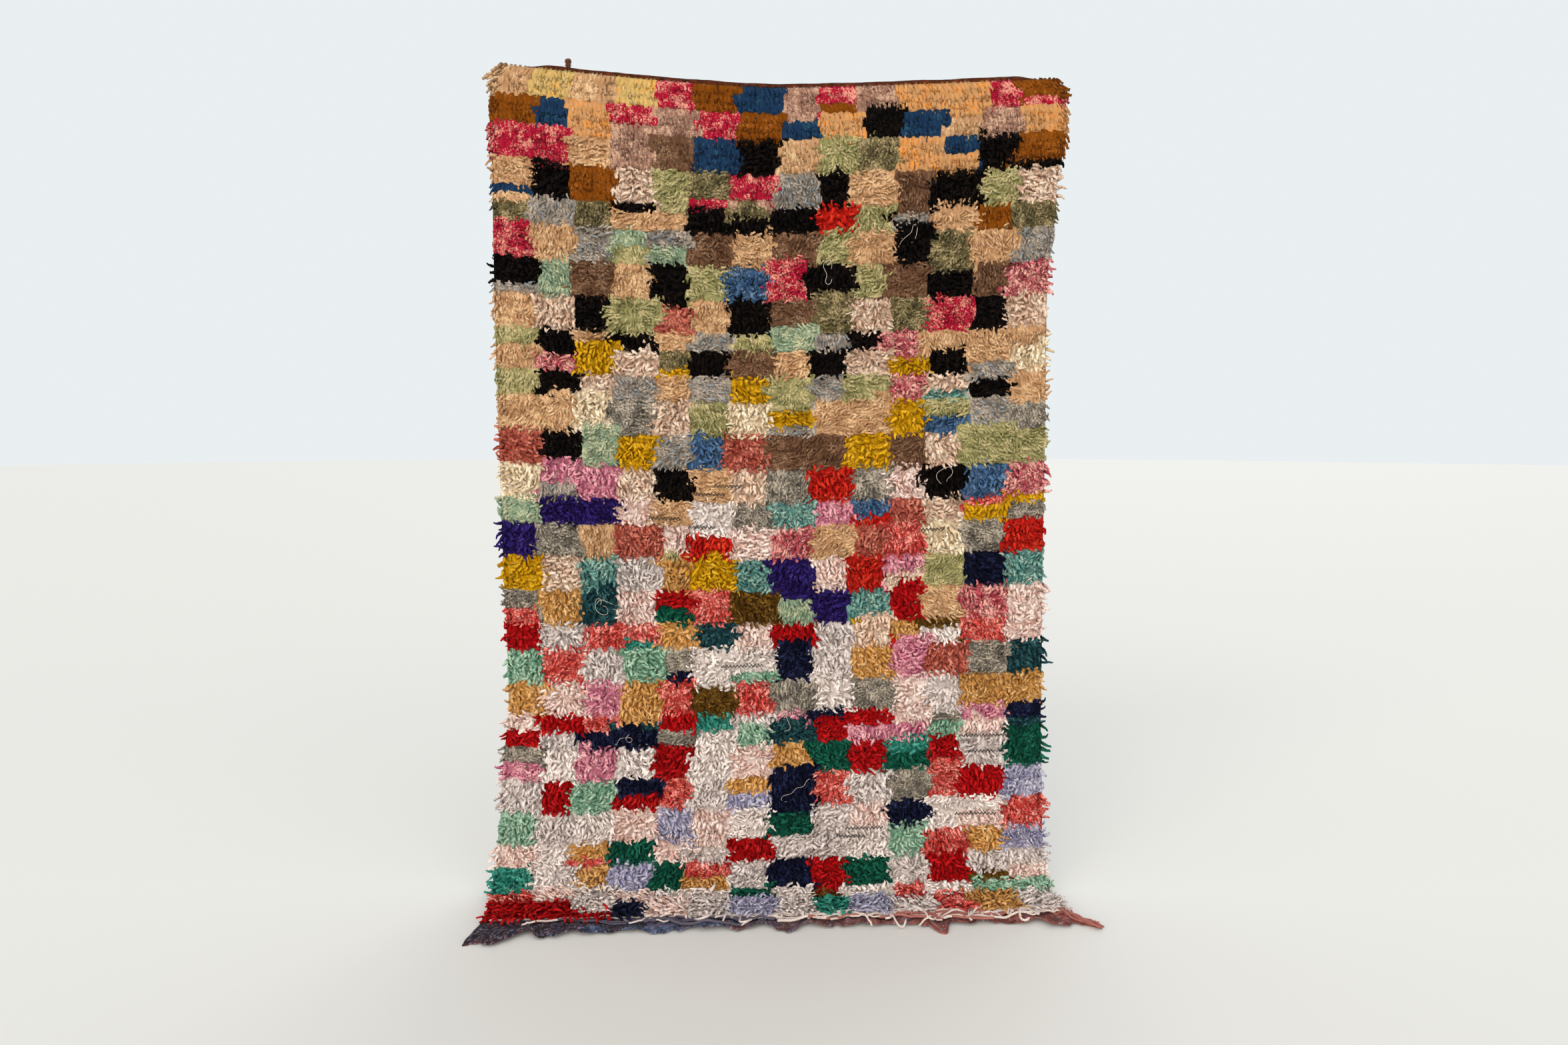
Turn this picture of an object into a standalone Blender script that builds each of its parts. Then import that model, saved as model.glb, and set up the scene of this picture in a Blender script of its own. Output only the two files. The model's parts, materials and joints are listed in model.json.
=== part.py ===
"""Boucherouite rug, a knotted rag-pile rug that hangs by its top end with its foot swept out on the floor.

Row frame: +Z up, +X to the right of a person who faces the pile, which looks along -Y. The origin is the
middle of the top edge, where the rug is held. Everything is in metres.
"""

import math
import random
from collections import namedtuple

import bmesh
import bpy
from mathutils import Vector, noise

# How the rug hangs
DROP = 1.95
BEND_RADIUS = 0.10
FOOT_RUN_LEFT = 0.100
FOOT_RUN_RIGHT = 0.034
CORNER_RISE_LEFT = 0.055
CORNER_RISE_RIGHT = 0.022
SAG_POWER = 1.35

# Soft upright folds, which grow from nothing at the top to this much at the bend and fade through it
FOLD_DEPTH = 0.009
FOLD_START = 0.25
FOLDS = 3.5
FOLD_PHASE = 0.6

# The cloth and its pile
GROUND = 0.004
PILE = 0.024
LUMP = 0.006
LUMP_SPACING = 0.09
FINE_LUMP_SHARE = 0.6
FINE_LUMP_SCALE = 2.1
FINE_LUMP_LAYER = Vector((7, 3, 1))
RIM_LUMP_SHARE = 0.4
RIM_THICKNESS_SHARE = 0.62
RIM_TAPER = 0.12
LEDGE = 0.008
CLEARANCE = 0.0003

# The edges of the woven cloth, down from its top end
Width = namedtuple("Width", "down left right")
WIDTHS = (
    Width(0.000, -0.664, 0.646),
    Width(0.030, -0.684, 0.667),
    Width(0.100, -0.692, 0.673),
    Width(0.260, -0.688, 0.652),
    Width(0.500, -0.690, 0.634),
    Width(1.000, -0.687, 0.636),
    Width(1.500, -0.679, 0.639),
    Width(1.800, -0.706, 0.648),
    Width(1.950, -0.722, 0.663),
    Width(2.160, -0.703, 0.690),
)

HALF_WIDTH = (WIDTHS[-1].right - WIDTHS[-1].left) / 2

# Cells of the slab
COLUMNS = 26
HANGING_ROWS = 38
TOP_ROW = 0.018
BEND_ROWS = 5
RUN_ROWS = 2

# Locks at the rim: how far the tips stand out, least and most
RIM_SEED = 11
SIDE_LOCK = (0.004, 0.015)
SIDE_LONG_LOCK = (0.018, 0.028)
LONG_LOCK_SHARE = 0.16
LOCK_WAIST = 0.42
LOCK_WAIST_AT = 0.35
LOCK_DROOP = (-0.14, 0.35)
TOP_LOCK = (0.003, 0.009)
FOOT_LOCK = (0.009, 0.019)
END_LOCK_LEAN = 0.25

# The plain-woven heading at the top, folded to the back
HEADING_LEFT = -0.600
HEADING_RIGHT = 0.600
HEADING_STATIONS = 48
HEADING_RISE = 0.012
HEADING_FRONT = 0.0045
HEADING_TAIL = 0.0035
HEADING_TAIL_DOWN = 0.034
HEADING_UNEVEN = 0.0016
HEADING_UNEVEN_SPACING = 0.07
HEADING_FOLD_SIDES = 4

# The tied-off end of heading yarn that stands on the top edge
KNOT_X = -0.505
KNOT_HEIGHT = 0.020
KNOT_RADIUS = 0.0068
KNOT_FLATNESS = 0.6
KNOT_SIDES = 8
Neck = namedtuple("Neck", "height width")
NECKS = (
    Neck(0.00, 0.80),
    Neck(0.18, 0.95),
    Neck(0.40, 0.74),
    Neck(0.62, 0.96),
    Neck(0.84, 0.88),
    Neck(1.00, 0.45),
)

# The plain-woven end band on the floor: for each place across, how far its edge stands out sideways, how far
# it reaches forward of the pile, and how high its edge is rucked up
BAND = 0.003
BAND_ROWS = 4
BAND_STEPS = 4
BAND_FLAT_SHARE = 0.25
Ruck = namedtuple("Ruck", "across out reach lift")
RUCKS = (
    Ruck(-1.000, -0.012, 0.116, 0.000),
    Ruck(-0.945, -0.004, 0.108, 0.005),
    Ruck(-0.880, 0.004, 0.094, 0.009),
    Ruck(-0.830, 0.004, 0.072, 0.013),
    Ruck(-0.765, 0.000, 0.082, 0.005),
    Ruck(-0.690, 0.000, 0.068, 0.012),
    Ruck(-0.560, 0.000, 0.074, 0.005),
    Ruck(-0.480, 0.000, 0.066, 0.010),
    Ruck(-0.400, 0.000, 0.073, 0.003),
    Ruck(-0.320, 0.000, 0.070, 0.006),
    Ruck(-0.220, 0.000, 0.060, 0.013),
    Ruck(-0.130, 0.000, 0.074, 0.004),
    Ruck(-0.060, 0.000, 0.058, 0.011),
    Ruck(0.030, 0.000, 0.072, 0.003),
    Ruck(0.110, 0.000, 0.060, 0.012),
    Ruck(0.190, 0.000, 0.067, 0.005),
    Ruck(0.280, 0.000, 0.057, 0.010),
    Ruck(0.410, 0.000, 0.061, 0.006),
    Ruck(0.505, 0.000, 0.064, 0.004),
    Ruck(0.550, 0.006, 0.110, 0.000),
    Ruck(0.590, 0.000, 0.062, 0.009),
    Ruck(0.700, 0.000, 0.056, 0.007),
    Ruck(0.790, 0.000, 0.068, 0.003),
    Ruck(0.880, 0.006, 0.063, 0.011),
    Ruck(0.950, 0.026, 0.084, 0.006),
    Ruck(1.000, 0.060, 0.098, 0.000),
)

# Loose warp ends: a narrow strip on the band holds their roots
WARP_SEED = 5
STRIP_DEPTH = 0.009
STRIP_THICKNESS = 0.003
STRIP_STATIONS = 40
STRIP_REACH = 0.97
WARP_ENDS = 34
WARP_REACH = 0.93
WARP_CROWDING = 0.72
WARP_THICKNESS = 0.0026
WARP_FLATNESS = 1.3
WARP_TAPER = 0.35
WARP_SIDES = 4
WARP_STEPS = 7
WARP_LENGTH = (0.038, 0.082)
WARP_SWAY = 0.016
WARP_BENDS = 1.2
FALL_START = 1.12
FALL_END = 1.32
NEAR_ACROSS = 0.012
NEAR_FORWARD = 0.006

# Edges sharper than this are not smoothed
SHARP_DEG = 50

# Colour (linear) and roughness of each sub-part
Finish = namedtuple("Finish", "colour roughness")
PILE_FINISH = Finish((0.42, 0.31, 0.23), 0.95)
HEADING_FINISH = Finish((0.115, 0.035, 0.022), 0.92)
KNOT_FINISH = Finish((0.100, 0.038, 0.018), 0.92)
BAND_FINISH = Finish((0.070, 0.045, 0.055), 0.93)
WARP_FINISH = Finish((0.70, 0.60, 0.52), 0.90)


def clear_scene():
    """Removes what Blender's startup scene holds."""
    for obj in list(bpy.data.objects):
        bpy.data.objects.remove(obj)


def finish_named(name, finish):
    """A plain Principled material."""
    material = bpy.data.materials.new(name)
    material.use_nodes = True
    shader = material.node_tree.nodes["Principled BSDF"]
    shader.inputs["Base Color"].default_value = (*finish.colour, 1.0)
    shader.inputs["Roughness"].default_value = finish.roughness
    shader.inputs["Metallic"].default_value = 0.0
    return material


def object_from(bm, name, finish):
    """Turns a closed bmesh into a named object with its faces pointing out."""
    bmesh.ops.recalc_face_normals(bm, faces=bm.faces)
    mesh = bpy.data.meshes.new(name)
    bm.to_mesh(mesh)
    bm.free()
    mesh.shade_smooth()
    mesh.set_sharp_from_angle(angle=math.radians(SHARP_DEG))
    mesh.materials.append(finish_named(name, finish))
    obj = bpy.data.objects.new(name, mesh)
    bpy.context.scene.collection.objects.link(obj)
    return obj


def smooth(share):
    """Eases a share from 0 to 1."""
    share = min(max(share, 0.0), 1.0)
    return share * share * (3 - 2 * share)


def read_table(rows, key, columns, at):
    """Reads the columns of a table at a place between two of its rows, easing from row to row."""
    at = min(max(at, getattr(rows[0], key)), getattr(rows[-1], key))
    for low, high in zip(rows, rows[1:]):
        if at <= getattr(high, key):
            break
    start, end = getattr(low, key), getattr(high, key)
    share = smooth((at - start) / (end - start))
    return [getattr(low, c) + share * (getattr(high, c) - getattr(low, c)) for c in columns]


def top_rise(across):
    """How far the top edge stands above its middle; across runs from -1 at the left to 1 at the right."""
    rise = CORNER_RISE_LEFT if across < 0 else CORNER_RISE_RIGHT
    return rise * abs(across) ** SAG_POWER


def foot_run(across):
    """How far the cloth lies flat on the floor past its bend."""
    return FOOT_RUN_LEFT + (across + 1) / 2 * (FOOT_RUN_RIGHT - FOOT_RUN_LEFT)


def hanging_length(across):
    """The cloth's straight length above its bend."""
    return DROP + top_rise(across) - BEND_RADIUS


def cloth_length(across):
    """The cloth's whole length from its top edge to the end of its pile."""
    return hanging_length(across) + BEND_RADIUS * math.pi / 2 + foot_run(across)


def fold_offset(across, down):
    """The soft upright folds, as a shift along Y."""
    hanging = hanging_length(across)
    grown = smooth((down - FOLD_START) / (hanging - FOLD_START))
    faded = smooth((down - hanging) / (BEND_RADIUS * math.pi / 2))
    return FOLD_DEPTH * grown * (1 - faded) * math.sin(math.pi * FOLDS * across + FOLD_PHASE)


def back_point(across, down):
    """A point on the back of the cloth, down along it from its top edge."""
    left, right = read_table(WIDTHS, "down", ("left", "right"), down)
    x = left + (across + 1) / 2 * (right - left)
    hanging = hanging_length(across)
    shift = fold_offset(across, down)
    if down <= hanging:
        return Vector((x, shift, top_rise(across) - down))
    turn = min((down - hanging) / BEND_RADIUS, math.pi / 2)
    past = max(down - hanging - BEND_RADIUS * math.pi / 2, 0.0)
    lift = BEND_RADIUS * (1 - math.sin(turn)) if turn < math.pi / 2 else 0.0
    return Vector((x, shift - BEND_RADIUS * (1 - math.cos(turn)) - past, lift - DROP))


def pile_direction(across, down):
    """The unit vector from the cloth's back out through its pile."""
    hanging = hanging_length(across)
    turn = min(max((down - hanging) / BEND_RADIUS, 0.0), math.pi / 2)
    return Vector((0.0, -math.cos(turn), math.sin(turn)))


def thickness_at(across, down):
    """Ground and pile together: lumpy, and thinner towards the sides."""
    place = Vector((across * HALF_WIDTH, down, 0.0)) / LUMP_SPACING
    fine = noise.noise(place * FINE_LUMP_SCALE + FINE_LUMP_LAYER)
    lump = LUMP * (noise.noise(place) + FINE_LUMP_SHARE * fine)
    inside = smooth((1 - abs(across)) / RIM_TAPER)
    lump *= RIM_LUMP_SHARE + (1 - RIM_LUMP_SHARE) * inside
    return (GROUND + PILE + lump) * (RIM_THICKNESS_SHARE + (1 - RIM_THICKNESS_SHARE) * inside)


def row_places(across):
    """How far down each row of cells lies: the hanging rows, the bend and the flat foot each end on a row."""
    hanging = hanging_length(across)
    bend = BEND_RADIUS * math.pi / 2
    downs = [0.0, TOP_ROW]
    downs += [TOP_ROW + (hanging - TOP_ROW) * i / HANGING_ROWS for i in range(1, HANGING_ROWS + 1)]
    downs += [hanging + bend * i / BEND_ROWS for i in range(1, BEND_ROWS + 1)]
    downs += [hanging + bend + foot_run(across) * i / RUN_ROWS for i in range(1, RUN_ROWS + 1)]
    return downs


def halved(downs):
    """The same places with one more halfway between each two."""
    out = []
    for start, end in zip(downs, downs[1:]):
        out += [start, (start + end) / 2]
    return [*out, downs[-1]]


def add_lock(bm, base, outward, reach, waist):
    """A lock of rag pile on a four-cornered patch of rim: a short cone, or a slender one with a waist."""
    centre = sum((v.co for v in base), Vector()) / len(base)
    tip = bm.verts.new(centre + outward * reach)
    ring = base
    if waist:
        neck = centre + outward * reach * LOCK_WAIST_AT
        ring = [bm.verts.new(neck + (v.co - centre) * LOCK_WAIST) for v in base]
        for i in range(len(base)):
            j = (i + 1) % len(base)
            bm.faces.new((base[i], base[j], ring[j], ring[i]))
    for i in range(len(ring)):
        bm.faces.new((ring[i], ring[(i + 1) % len(ring)], tip))


def slab_column(bm, across, downs):
    """The vertices down one column of the slab, on its back and on the pile's face."""
    back = [bm.verts.new(back_point(across, d)) for d in downs]
    front = []
    for d in downs:
        point = back_point(across, d) + pile_direction(across, d) * thickness_at(across, d)
        front.append(bm.verts.new(point))
    return back, front


def cover_side_strip(bm, side, inner):
    """The five-cornered cells between a side's column and the first inner one."""
    for row in range(len(inner) - 1):
        k = 2 * row
        bm.faces.new((side[k], side[k + 1], side[k + 2], inner[row + 1], inner[row]))


def cover_side_wall(bm, back, front, outward_x, rng):
    """The side's wall, one lock for each cell, with longer slender ones among them."""
    for k in range(len(back) - 1):
        base = (back[k], back[k + 1], front[k + 1], front[k])
        long_one = rng.random() < LONG_LOCK_SHARE
        reach = rng.uniform(*(SIDE_LONG_LOCK if long_one else SIDE_LOCK))
        along = (back[k + 1].co - back[k].co).normalized()
        outward = Vector((outward_x, 0.0, 0.0)) + along * rng.uniform(*LOCK_DROOP)
        add_lock(bm, base, outward, reach, long_one)


def cover_end_wall(bm, back, front, along, lock_range, rng):
    """The wall at the top or foot: a plain ledge of woven ground, and pile with locks in front of it."""
    ledge = []
    for b, f in zip(back, front):
        ledge.append(bm.verts.new(b.co + (f.co - b.co).normalized() * LEDGE))
    for j in range(len(back) - 1):
        bm.faces.new((back[j], back[j + 1], ledge[j + 1], ledge[j]))
        base = (ledge[j], ledge[j + 1], front[j + 1], front[j])
        lean = (front[j].co - ledge[j].co).normalized() * END_LOCK_LEAN
        add_lock(bm, base, along + lean, rng.uniform(*lock_range), False)
    return ledge


def close_corner(bm, back, ledge, front, wall_faces):
    """Joins an end wall's ledge point to the side's edge there, which runs straight from back to front."""
    for face in wall_faces:
        if back in face.verts and front in face.verts:
            corners = list(face.verts)
            i = corners.index(back)
            after = corners[(i + 1) % len(corners)] is front
            corners.insert(i + 1 if after else i, ledge)
            bm.faces.remove(face)
            bm.faces.new(corners)
            return


def build_pile_panel():
    """The knotted panel: a lumpy slab with locks at its rim."""
    rng = random.Random(RIM_SEED)
    bm = bmesh.new()
    places = [-1 + 2 * j / COLUMNS for j in range(COLUMNS + 1)]
    left, right = (slab_column(bm, across, halved(row_places(across))) for across in (-1, 1))
    inner = [slab_column(bm, across, row_places(across)) for across in places[1:-1]]

    for layer in range(2):
        cover_side_strip(bm, left[layer], inner[0][layer])
        cover_side_strip(bm, right[layer], inner[-1][layer])
        for one, two in zip(inner, inner[1:]):
            for row in range(len(one[layer]) - 1):
                bm.faces.new((one[layer][row], two[layer][row], two[layer][row + 1], one[layer][row + 1]))

    cover_side_wall(bm, *left, -1.0, rng)
    cover_side_wall(bm, *right, 1.0, rng)
    for end, along, locks in ((0, Vector((0, 0, 1)), TOP_LOCK), (-1, Vector((0, -1, 0)), FOOT_LOCK)):
        back = [left[0][end], *(column[0][end] for column in inner), right[0][end]]
        front = [left[1][end], *(column[1][end] for column in inner), right[1][end]]
        ledge = cover_end_wall(bm, back, front, along, locks, rng)
        for side in (0, -1):
            close_corner(bm, back[side], ledge[side], front[side], list(bm.faces))
    return object_from(bm, "pile_panel", PILE_FINISH)


def ring_solid(bm, rings):
    """Joins rings of equal size into one closed solid, capped at both ends."""
    for one, two in zip(rings, rings[1:]):
        for i in range(len(one)):
            j = (i + 1) % len(one)
            bm.faces.new((one[i], one[j], two[j], two[i]))
    bm.faces.new(rings[0])
    bm.faces.new(list(reversed(rings[-1])))


def across_at(x):
    """Where x lies across the cloth's top edge, from -1 to 1."""
    left, right = WIDTHS[0].left, WIDTHS[0].right
    return 2 * (x - left) / (right - left) - 1


def heading_profile(rise):
    """The folded heading's section as (y, z) above the top edge: up in front, over, and down the back."""
    middle = (HEADING_TAIL - HEADING_FRONT) / 2
    radius = (HEADING_TAIL + HEADING_FRONT) / 2
    points = [(-HEADING_FRONT, CLEARANCE)]
    for i in range(HEADING_FOLD_SIDES + 1):
        angle = math.pi * (1 - i / HEADING_FOLD_SIDES)
        points.append((middle + radius * math.cos(angle), rise - radius + radius * math.sin(angle)))
    points += [(HEADING_TAIL, -HEADING_TAIL_DOWN), (CLEARANCE, -HEADING_TAIL_DOWN), (CLEARANCE, CLEARANCE)]
    return points


def heading_rise(x):
    """The heading's height above the top edge, a little uneven along it."""
    return HEADING_RISE + HEADING_UNEVEN * noise.noise(Vector((x / HEADING_UNEVEN_SPACING, 0, 5)))


def station_x(i):
    """Where a station of the heading lies."""
    return HEADING_LEFT + (HEADING_RIGHT - HEADING_LEFT) * i / HEADING_STATIONS


def heading_top(x):
    """The height of the heading's fold, which runs straight from station to station."""
    place = (x - HEADING_LEFT) / (HEADING_RIGHT - HEADING_LEFT) * HEADING_STATIONS
    i = math.floor(place)
    heights = [top_rise(across_at(station_x(k))) + heading_rise(station_x(k)) for k in (i, i + 1)]
    return heights[0] + (heights[1] - heights[0]) * (place - i)


def build_top_heading():
    """The plain-woven heading, folded over the top edge to the back."""
    bm = bmesh.new()
    rings = []
    for i in range(HEADING_STATIONS + 1):
        x = station_x(i)
        base = top_rise(across_at(x))
        profile = heading_profile(heading_rise(x))
        rings.append([bm.verts.new((x, y, base + z)) for y, z in profile])
    ring_solid(bm, rings)
    return object_from(bm, "top_heading", HEADING_FINISH)


def build_edge_knot():
    """The tied-off end of heading yarn: a stub with a wrapped neck and a round head."""
    bm = bmesh.new()
    rings = []
    for height, width in NECKS:
        ring = []
        for i in range(KNOT_SIDES):
            angle = 2 * math.pi * i / KNOT_SIDES
            x = KNOT_X + KNOT_RADIUS * width * math.cos(angle)
            y = KNOT_RADIUS * KNOT_FLATNESS * width * math.sin(angle)
            z = heading_top(x) + CLEARANCE + KNOT_HEIGHT * height
            ring.append(bm.verts.new((x, y, z)))
        rings.append(ring)
    ring_solid(bm, rings)
    return object_from(bm, "edge_knot", KNOT_FINISH)


def foot_end(across):
    """Where the pile panel ends on the floor: a straight line across, since the folds have faded by then."""
    return back_point(-1, cloth_length(-1)).lerp(back_point(1, cloth_length(1)), (across + 1) / 2)


def ruck_height(lift, share):
    """How high the band's underside is rucked up, from its root at the pile, 0, to its edge, 1."""
    return lift * smooth((share - BAND_FLAT_SHARE) / (1 - BAND_FLAT_SHARE))


def band_point(across, share):
    """A point on the underside of the end band."""
    out, reach, lift = read_table(RUCKS, "across", ("out", "reach", "lift"), across)
    root = foot_end(across)
    x = root.x + out * smooth(share) * share
    return Vector((x, root.y - CLEARANCE - reach * share, -DROP + ruck_height(lift, share)))


def build_end_band():
    """The plain-woven band at the foot, rucked and pulled out to points."""
    bm = bmesh.new()
    under, over = [], []
    places = []
    for low, high in zip(RUCKS, RUCKS[1:]):
        places += [low.across + (high.across - low.across) * i / BAND_STEPS for i in range(BAND_STEPS)]
    places.append(RUCKS[-1].across)
    for across in places:
        points = [band_point(across, row / BAND_ROWS) for row in range(BAND_ROWS + 1)]
        under.append([bm.verts.new(p) for p in points])
        over.append([bm.verts.new(p + Vector((0, 0, BAND))) for p in points])
    for layer in (under, over):
        for one, two in zip(layer, layer[1:]):
            for row in range(BAND_ROWS):
                bm.faces.new((one[row], two[row], two[row + 1], one[row + 1]))
    for row in (0, BAND_ROWS):
        for i in range(len(places) - 1):
            bm.faces.new((under[i][row], under[i + 1][row], over[i + 1][row], over[i][row]))
    for i in (0, -1):
        for row in range(BAND_ROWS):
            bm.faces.new((under[i][row], under[i][row + 1], over[i][row + 1], over[i][row]))
    return object_from(bm, "end_band", BAND_FINISH)


def band_top(across, forward):
    """The height of the band's upper side this far forward of its root, easing to the floor past its edge."""
    reach, lift = read_table(RUCKS, "across", ("reach", "lift"), across)
    share = forward / reach
    past_edge = smooth((share - FALL_START) / (FALL_END - FALL_START))
    return (BAND + ruck_height(lift, share)) * (1 - past_edge)


def warp_end_path(across, length, sway):
    """The line that one loose warp end follows over the band and down to the floor."""
    points = []
    for step in range(WARP_STEPS + 1):
        share = step / WARP_STEPS
        forward = STRIP_DEPTH * 0.5 + length * share
        moved = across + sway * math.sin(share * math.pi * WARP_BENDS) / HALF_WIDTH
        nearby = [band_top(moved + d * NEAR_ACROSS, forward + f * NEAR_FORWARD)
                  for d in (-1, 0, 1) for f in (-1, 0, 1)]
        height = max(nearby) + CLEARANCE + WARP_THICKNESS * 0.5
        if step < 2:
            height = BAND + CLEARANCE + STRIP_THICKNESS * 0.5
        root = foot_end(moved)
        points.append(Vector((root.x, root.y - CLEARANCE - forward, -DROP + height)))
    return points


def strand_on(bm, points):
    """A four-sided strand that tapers along its line."""
    rings = []
    for i, point in enumerate(points):
        ahead = points[min(i + 1, len(points) - 1)] - points[max(i - 1, 0)]
        side = Vector((-ahead.y, ahead.x, 0)).normalized()
        radius = WARP_THICKNESS / 2 * (1 - WARP_TAPER * i / (len(points) - 1))
        ring = []
        for k in range(WARP_SIDES):
            angle = 2 * math.pi * (k + 0.5) / WARP_SIDES
            outward = side * WARP_FLATNESS * math.cos(angle) + Vector((0, 0, math.sin(angle)))
            ring.append(bm.verts.new(point + outward * radius))
        rings.append(ring)
    ring_solid(bm, rings)


def build_root_strip():
    """The narrow strip of knotted warp that the loose ends hang from, on top of the band's root."""
    bm = bmesh.new()
    rings = []
    for i in range(STRIP_STATIONS + 1):
        across = STRIP_REACH * (2 * i / STRIP_STATIONS - 1)
        root = foot_end(across)
        low, high = -DROP + BAND + CLEARANCE, -DROP + BAND + CLEARANCE + STRIP_THICKNESS
        y_near, y_far = root.y - CLEARANCE, root.y - CLEARANCE - STRIP_DEPTH
        corners = ((y_near, low), (y_near, high), (y_far, high), (y_far, low))
        rings.append([bm.verts.new((root.x, y, z)) for y, z in corners])
    ring_solid(bm, rings)
    return object_from(bm, "warp_ends", WARP_FINISH)


def build_warp_ends():
    """The loose warp ends, most of them towards the right, joined to their strip."""
    rng = random.Random(WARP_SEED)
    strip = build_root_strip()
    for i in range(WARP_ENDS):
        share = (i + 0.5 + rng.uniform(-0.3, 0.3)) / WARP_ENDS
        across = WARP_REACH * (2 * share ** WARP_CROWDING - 1)
        bm = bmesh.new()
        path = warp_end_path(across, rng.uniform(*WARP_LENGTH), rng.uniform(-1, 1) * WARP_SWAY)
        strand_on(bm, path)
        strand = object_from(bm, f"strand_{i}", WARP_FINISH)
        strand.hide_render = True
        strand.display_type = "WIRE"
        joined = strip.modifiers.new(f"strand_{i}", "BOOLEAN")
        joined.operation = "UNION"
        joined.object = strand
    return strip


def main():
    clear_scene()
    build_pile_panel()
    build_top_heading()
    build_edge_knot()
    build_end_band()
    build_warp_ends()


main()
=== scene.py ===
"""Looks of the boucherouite rug: rag pile in blocks of colour, woven ground, heading, end band, warp ends."""

from __future__ import annotations

import json
import logging
import math
from dataclasses import dataclass, field
from enum import Enum
from functools import partial
from typing import NamedTuple

import bmesh
import bpy
import numpy as np
from bmesh.types import BMesh, BMFace, BMLayerItem, BMVert
from bpy.types import Material, Mesh, Node, NodeSocket, NodeTree, Object
from mathutils import Matrix, Vector, noise

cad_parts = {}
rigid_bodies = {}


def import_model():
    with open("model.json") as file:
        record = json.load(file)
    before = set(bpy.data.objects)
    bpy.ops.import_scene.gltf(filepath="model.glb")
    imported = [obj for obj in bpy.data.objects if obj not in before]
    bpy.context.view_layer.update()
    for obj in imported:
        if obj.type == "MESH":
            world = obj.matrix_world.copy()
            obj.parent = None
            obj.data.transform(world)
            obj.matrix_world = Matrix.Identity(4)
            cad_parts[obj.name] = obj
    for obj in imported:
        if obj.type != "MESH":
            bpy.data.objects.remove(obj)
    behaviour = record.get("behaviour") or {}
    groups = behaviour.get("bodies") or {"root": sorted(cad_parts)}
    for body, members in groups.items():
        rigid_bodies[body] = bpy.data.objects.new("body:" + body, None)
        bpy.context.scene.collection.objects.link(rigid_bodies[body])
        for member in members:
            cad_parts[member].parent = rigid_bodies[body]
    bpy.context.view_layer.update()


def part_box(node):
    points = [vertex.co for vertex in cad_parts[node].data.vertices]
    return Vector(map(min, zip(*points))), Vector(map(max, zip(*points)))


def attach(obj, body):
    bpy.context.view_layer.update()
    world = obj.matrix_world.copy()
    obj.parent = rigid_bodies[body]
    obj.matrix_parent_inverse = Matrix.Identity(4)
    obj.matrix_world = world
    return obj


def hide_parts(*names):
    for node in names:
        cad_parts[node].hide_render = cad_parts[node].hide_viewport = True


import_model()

LOG = logging.getLogger("rug")
CLEARANCE = 0.0003
LAYER_GAP = 7.3

# Types that come often: two numbers that belong together, and the places and colours of a ramp
Array, Generator = np.ndarray, np.random.Generator
Pair, Stops = tuple[float, float], tuple[tuple[float, str], ...]

# Kinds and settings of nodes that come often
MATH, VECTOR_MATH, MIX = "ShaderNodeMath", "ShaderNodeVectorMath", "ShaderNodeMix"
NOISE, RANGE, BUMP = "ShaderNodeTexNoise", "ShaderNodeMapRange", "ShaderNodeBump"
UV_MAP, ATTRIBUTE = "ShaderNodeUVMap", "ShaderNodeAttribute"
BLEND = {"data_type": "RGBA"}
TINT = {"data_type": "RGBA", "blend_type": "MULTIPLY"}
TIMES = {"operation": "MULTIPLY"}


def linear(code: str) -> tuple[float, float, float, float]:
    """Turns an sRGB hex colour to linear.

    Args:
        code: Six hex digits after a hash mark.

    Returns:
        Red, green, blue and an alpha of 1.
    """
    channels = (int(code[i : i + 2], 16) / 255 for i in (1, 3, 5))
    return (*(c / 12.92 if c <= 0.04045 else ((c + 0.055) / 1.055) ** 2.4 for c in channels), 1.0)


def smooth(share: Array) -> Array:
    """Eases shares from 0 to 1."""
    share = np.clip(share, 0.0, 1.0)
    return share * share * (3 - 2 * share)


def read_table(rows: tuple, key: str, column: str, at: Array) -> Array:
    """Reads one column of a table at places between its rows, easing from row to row.

    Args:
        rows: The table's rows, in rising order of the key column.
        key: The column that places are given in.
        column: The column to read.
        at: The places.

    Returns:
        A value for each place.
    """
    places = np.array([getattr(row, key) for row in rows])
    values = np.array([getattr(row, column) for row in rows])
    at = np.clip(at, places[0], places[-1])
    low = np.clip(np.searchsorted(places, at, side="right") - 1, 0, len(places) - 2)
    share = smooth((at - places[low]) / (places[low + 1] - places[low]))
    return values[low] + share * (values[low + 1] - values[low])


def drift(x: float, y: float, layer: float) -> float:
    """Smooth noise from -1 to 1, a different field for each layer."""
    return noise.noise(Vector((x, y, layer * LAYER_GAP)))


def drifts(x: Array, y: Array | float, layer: float) -> Array:
    """The same noise at many places."""
    return np.vectorize(drift, otypes=[float])(x, y, layer)


def fill_sockets(tree: NodeTree, node: Node, inputs: dict | list) -> None:
    """Links or sets a node's sockets.

    Args:
        tree: The node's tree.
        node: The node.
        inputs: For each socket, by name, by number or in order, a node, which stands for its first live
            output, an output or a plain value. A range has its value, the two ends it is read from and the
            two it is turned to.
    """
    for key, value in inputs.items() if isinstance(inputs, dict) else enumerate(inputs):
        if isinstance(value, Node):
            value = next(socket for socket in value.outputs if socket.enabled)
        if isinstance(value, NodeSocket):
            tree.links.new(value, node.inputs[key])
        else:
            node.inputs[key].default_value = value


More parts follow.
